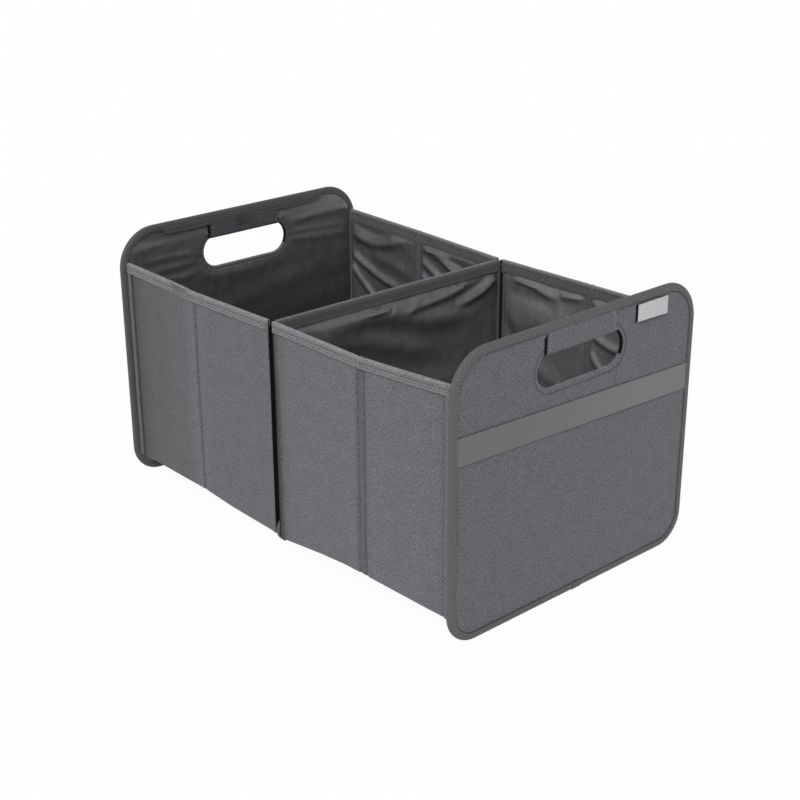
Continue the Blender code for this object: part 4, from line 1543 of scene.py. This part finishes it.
def make_floor(side):
    """A compartment's sewn mat, and the outer cloth that runs under it from wall to wall."""
    sx = SIDES[side]
    near, far = MAT_LOW.x, MAT_HIGH.x
    half = MAT_HIGH.y
    radius = 8 * MM
    thickness = MAT_HIGH.z - MAT_LOW.z
    rays, rings = 160, 16
    cx, cy = panel_rays(rays)
    middle = (near + far) / 2

    def in_mat(a, b):
        beyond_a = np.abs(a) - ((far - near) / 2 - radius)
        beyond_b = np.abs(b - SLOT_Z) - (half - radius)
        within = (beyond_a < radius) & (beyond_b < radius)
        return np.where((beyond_a > 0) & (beyond_b > 0), np.hypot(beyond_a, beyond_b) < radius, within)

    edge = reach_to(in_mat, cx, cy, 0.4)

    def place(u, v):
        ray = np.rint(u * rays).astype(int)
        under = v > 0.5
        a = edge[ray] * np.where(under, 2 * (1 - v), 2 * v) ** 0.7
        x, y = middle + cx[ray] * a, cy[ray] * a
        inward = edge[ray] - a
        swell = smooth(0, 6 * MM, inward) - 0.25 * bell(inward, 9 * MM, 2 * MM)
        top = MAT_LOW.z + thickness * (0.45 + 0.55 * swell)
        bottom = MAT_LOW.z + thickness * 0.3 * (1 - smooth(0, 4 * MM, inward))
        return x * sx, y, np.where(under, bottom, top)

    mat = cloth(
        f"{side}_floor_sewn_mat", rays, 2 * rings, place, (0.6, 0.3), LINING, (0, 0, 1), 0,
        probe=(0.3, 0.25), ring=True,
    )
    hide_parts(f"{side}_floor_mat")
    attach(mat, f"{side}_floor")

    start, end = FLOOR_CLOTH_LOW.x - 0.4 * MM, FLOOR_CLOTH_HIGH.x + 0.6 * MM
    edge_y = CLOTH_HIGH.y - 2.6 * MM

    def under_place(u, v):
        x = start + (end - start) * u
        y = edge_y * (2 * v - 1)
        slope = smooth(0, 1, (np.abs(y) - half) / (edge_y - half)) ** 0.8
        low = FLOOR_CLOTH_LOW.z + 0.5 * MM
        foot = foot_height(side, x) + 0.2 * MM
        z = low + (foot - low) * slope + 0.25 * MM * unevenness(x, y, 0.08, 91, 2)
        return x * sx, y, z

    under = cloth(
        f"{side}_under_cloth", 60, 90, under_place, (end - start, 2 * edge_y), OUTER, (0, 0, -1), 0.4 * MM,
    )
    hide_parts(f"{side}_floor_cloth")
    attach(under, "divider")
    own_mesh(under)


def make_walls():
    seed = 100
    for side in SIDES:
        for wall in WALLS:
            seed += 2
            wall_cloth(side, wall, seed, [*crease_welt(side, wall), end_web(side, wall)])
            for half in ("divider", "end"):
                wall_board(side, wall, half)
                seed += 1
                wall_lining(side, wall, half, seed + 50)
            wall_hem(side, wall, seed)
            groove_web(side, wall)


def paint_hidden_boards():
    for name in ("right_end_board", "left_end_board"):
        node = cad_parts[name]
        node.data.materials.clear()
        node.data.materials.append(BOARD)


# Stage, lamps and camera

def mix_shaders(tree, share, first, second, output):
    mix = add_node(tree, "ShaderNodeMixShader")
    tree.links.new(share, mix.inputs["Fac"])
    tree.links.new(first, mix.inputs[1])
    tree.links.new(second, mix.inputs[2])
    tree.links.new(mix.outputs["Shader"], output.inputs["Surface"])


def make_stage():
    """A white floor that keeps a soft part of the box's shadow for the camera."""
    deselect()
    bpy.ops.mesh.primitive_plane_add(size=24, location=(0, 0, 0))
    floor = bpy.context.object
    floor.name = "studio_floor"
    material, tree, shader = new_material("white_studio_floor", (0.9, 0.9, 0.9), 0.9, Specular_IOR_Level=0.0)
    glow = add_node(tree, "ShaderNodeEmission", Color=(1, 1, 1, 1), Strength=1.0)
    path = add_node(tree, "ShaderNodeLightPath")
    seen = combine(tree, "MAXIMUM", path.outputs["Is Camera Ray"], path.outputs["Is Glossy Ray"])
    seen = combine(tree, "MAXIMUM", seen, path.outputs["Is Transmission Ray"])
    share = combine(tree, "MULTIPLY", seen, FLOOR_GLOW)
    mix_shaders(tree, share, shader.outputs["BSDF"], glow.outputs["Emission"], tree.nodes["Material Output"])
    floor.data.materials.append(material)


def make_world():
    world = bpy.data.worlds.new("soft_white_studio")
    bpy.context.scene.world = world
    world.use_nodes = True
    tree = world.node_tree
    tree.nodes.clear()
    room = add_node(tree, "ShaderNodeBackground", Color=(0.98, 0.99, 1.0, 1), Strength=0.45)
    backdrop = add_node(tree, "ShaderNodeBackground", Color=(1, 1, 1, 1), Strength=1.0)
    seen = add_node(tree, "ShaderNodeLightPath").outputs["Is Camera Ray"]
    output = add_node(tree, "ShaderNodeOutputWorld")
    mix_shaders(tree, seen, room.outputs["Background"], backdrop.outputs["Background"], output)


def towards(azimuth, elevation):
    """The direction at these angles in degrees, counted from the front."""
    a, e = math.radians(azimuth), math.radians(elevation)
    return Vector((math.sin(a) * math.cos(e), -math.cos(a) * math.cos(e), math.sin(e)))


def make_lamp(name, azimuth, elevation, strength, softness):
    deselect()
    bpy.ops.object.light_add(type="SUN", location=(0, 0, 2))
    lamp = bpy.context.object
    lamp.name = name
    lamp.data.energy = strength
    lamp.data.angle = math.radians(softness)
    lamp.rotation_euler = towards(azimuth, elevation).to_track_quat("Z", "Y").to_euler()


def make_camera():
    roll = math.radians(CAMERA_ROLL)
    back = towards(CAMERA_AZIMUTH, CAMERA_ELEVATION)
    right = Vector((0, 0, 1)).cross(back).normalized()
    up = back.cross(right)
    turned_right = right * math.cos(roll) + up * math.sin(roll)
    turned_up = up * math.cos(roll) - right * math.sin(roll)
    data = bpy.data.cameras.new("studio_camera")
    data.sensor_width = SENSOR
    data.lens = FOCAL_PIXELS / PICTURE_WIDTH * SENSOR
    camera = bpy.data.objects.new("studio_camera", data)
    bpy.context.scene.collection.objects.link(camera)
    camera.matrix_world = Matrix.Translation(Vector(CAMERA_EYE)) @ Matrix(
        (turned_right, turned_up, back)
    ).transposed().to_4x4()
    bpy.context.scene.camera = camera


make_camera()
make_world()
make_lamp("soft_key", azimuth=33, elevation=45, strength=2.2, softness=26)
make_stage()
bpy.context.scene.view_settings.view_transform = "Standard"

make_walls()
for end in SIDES:
    make_end(end)
make_strap()
make_tab()
make_divider()
for compartment in SIDES:
    make_floor(compartment)
paint_hidden_boards()
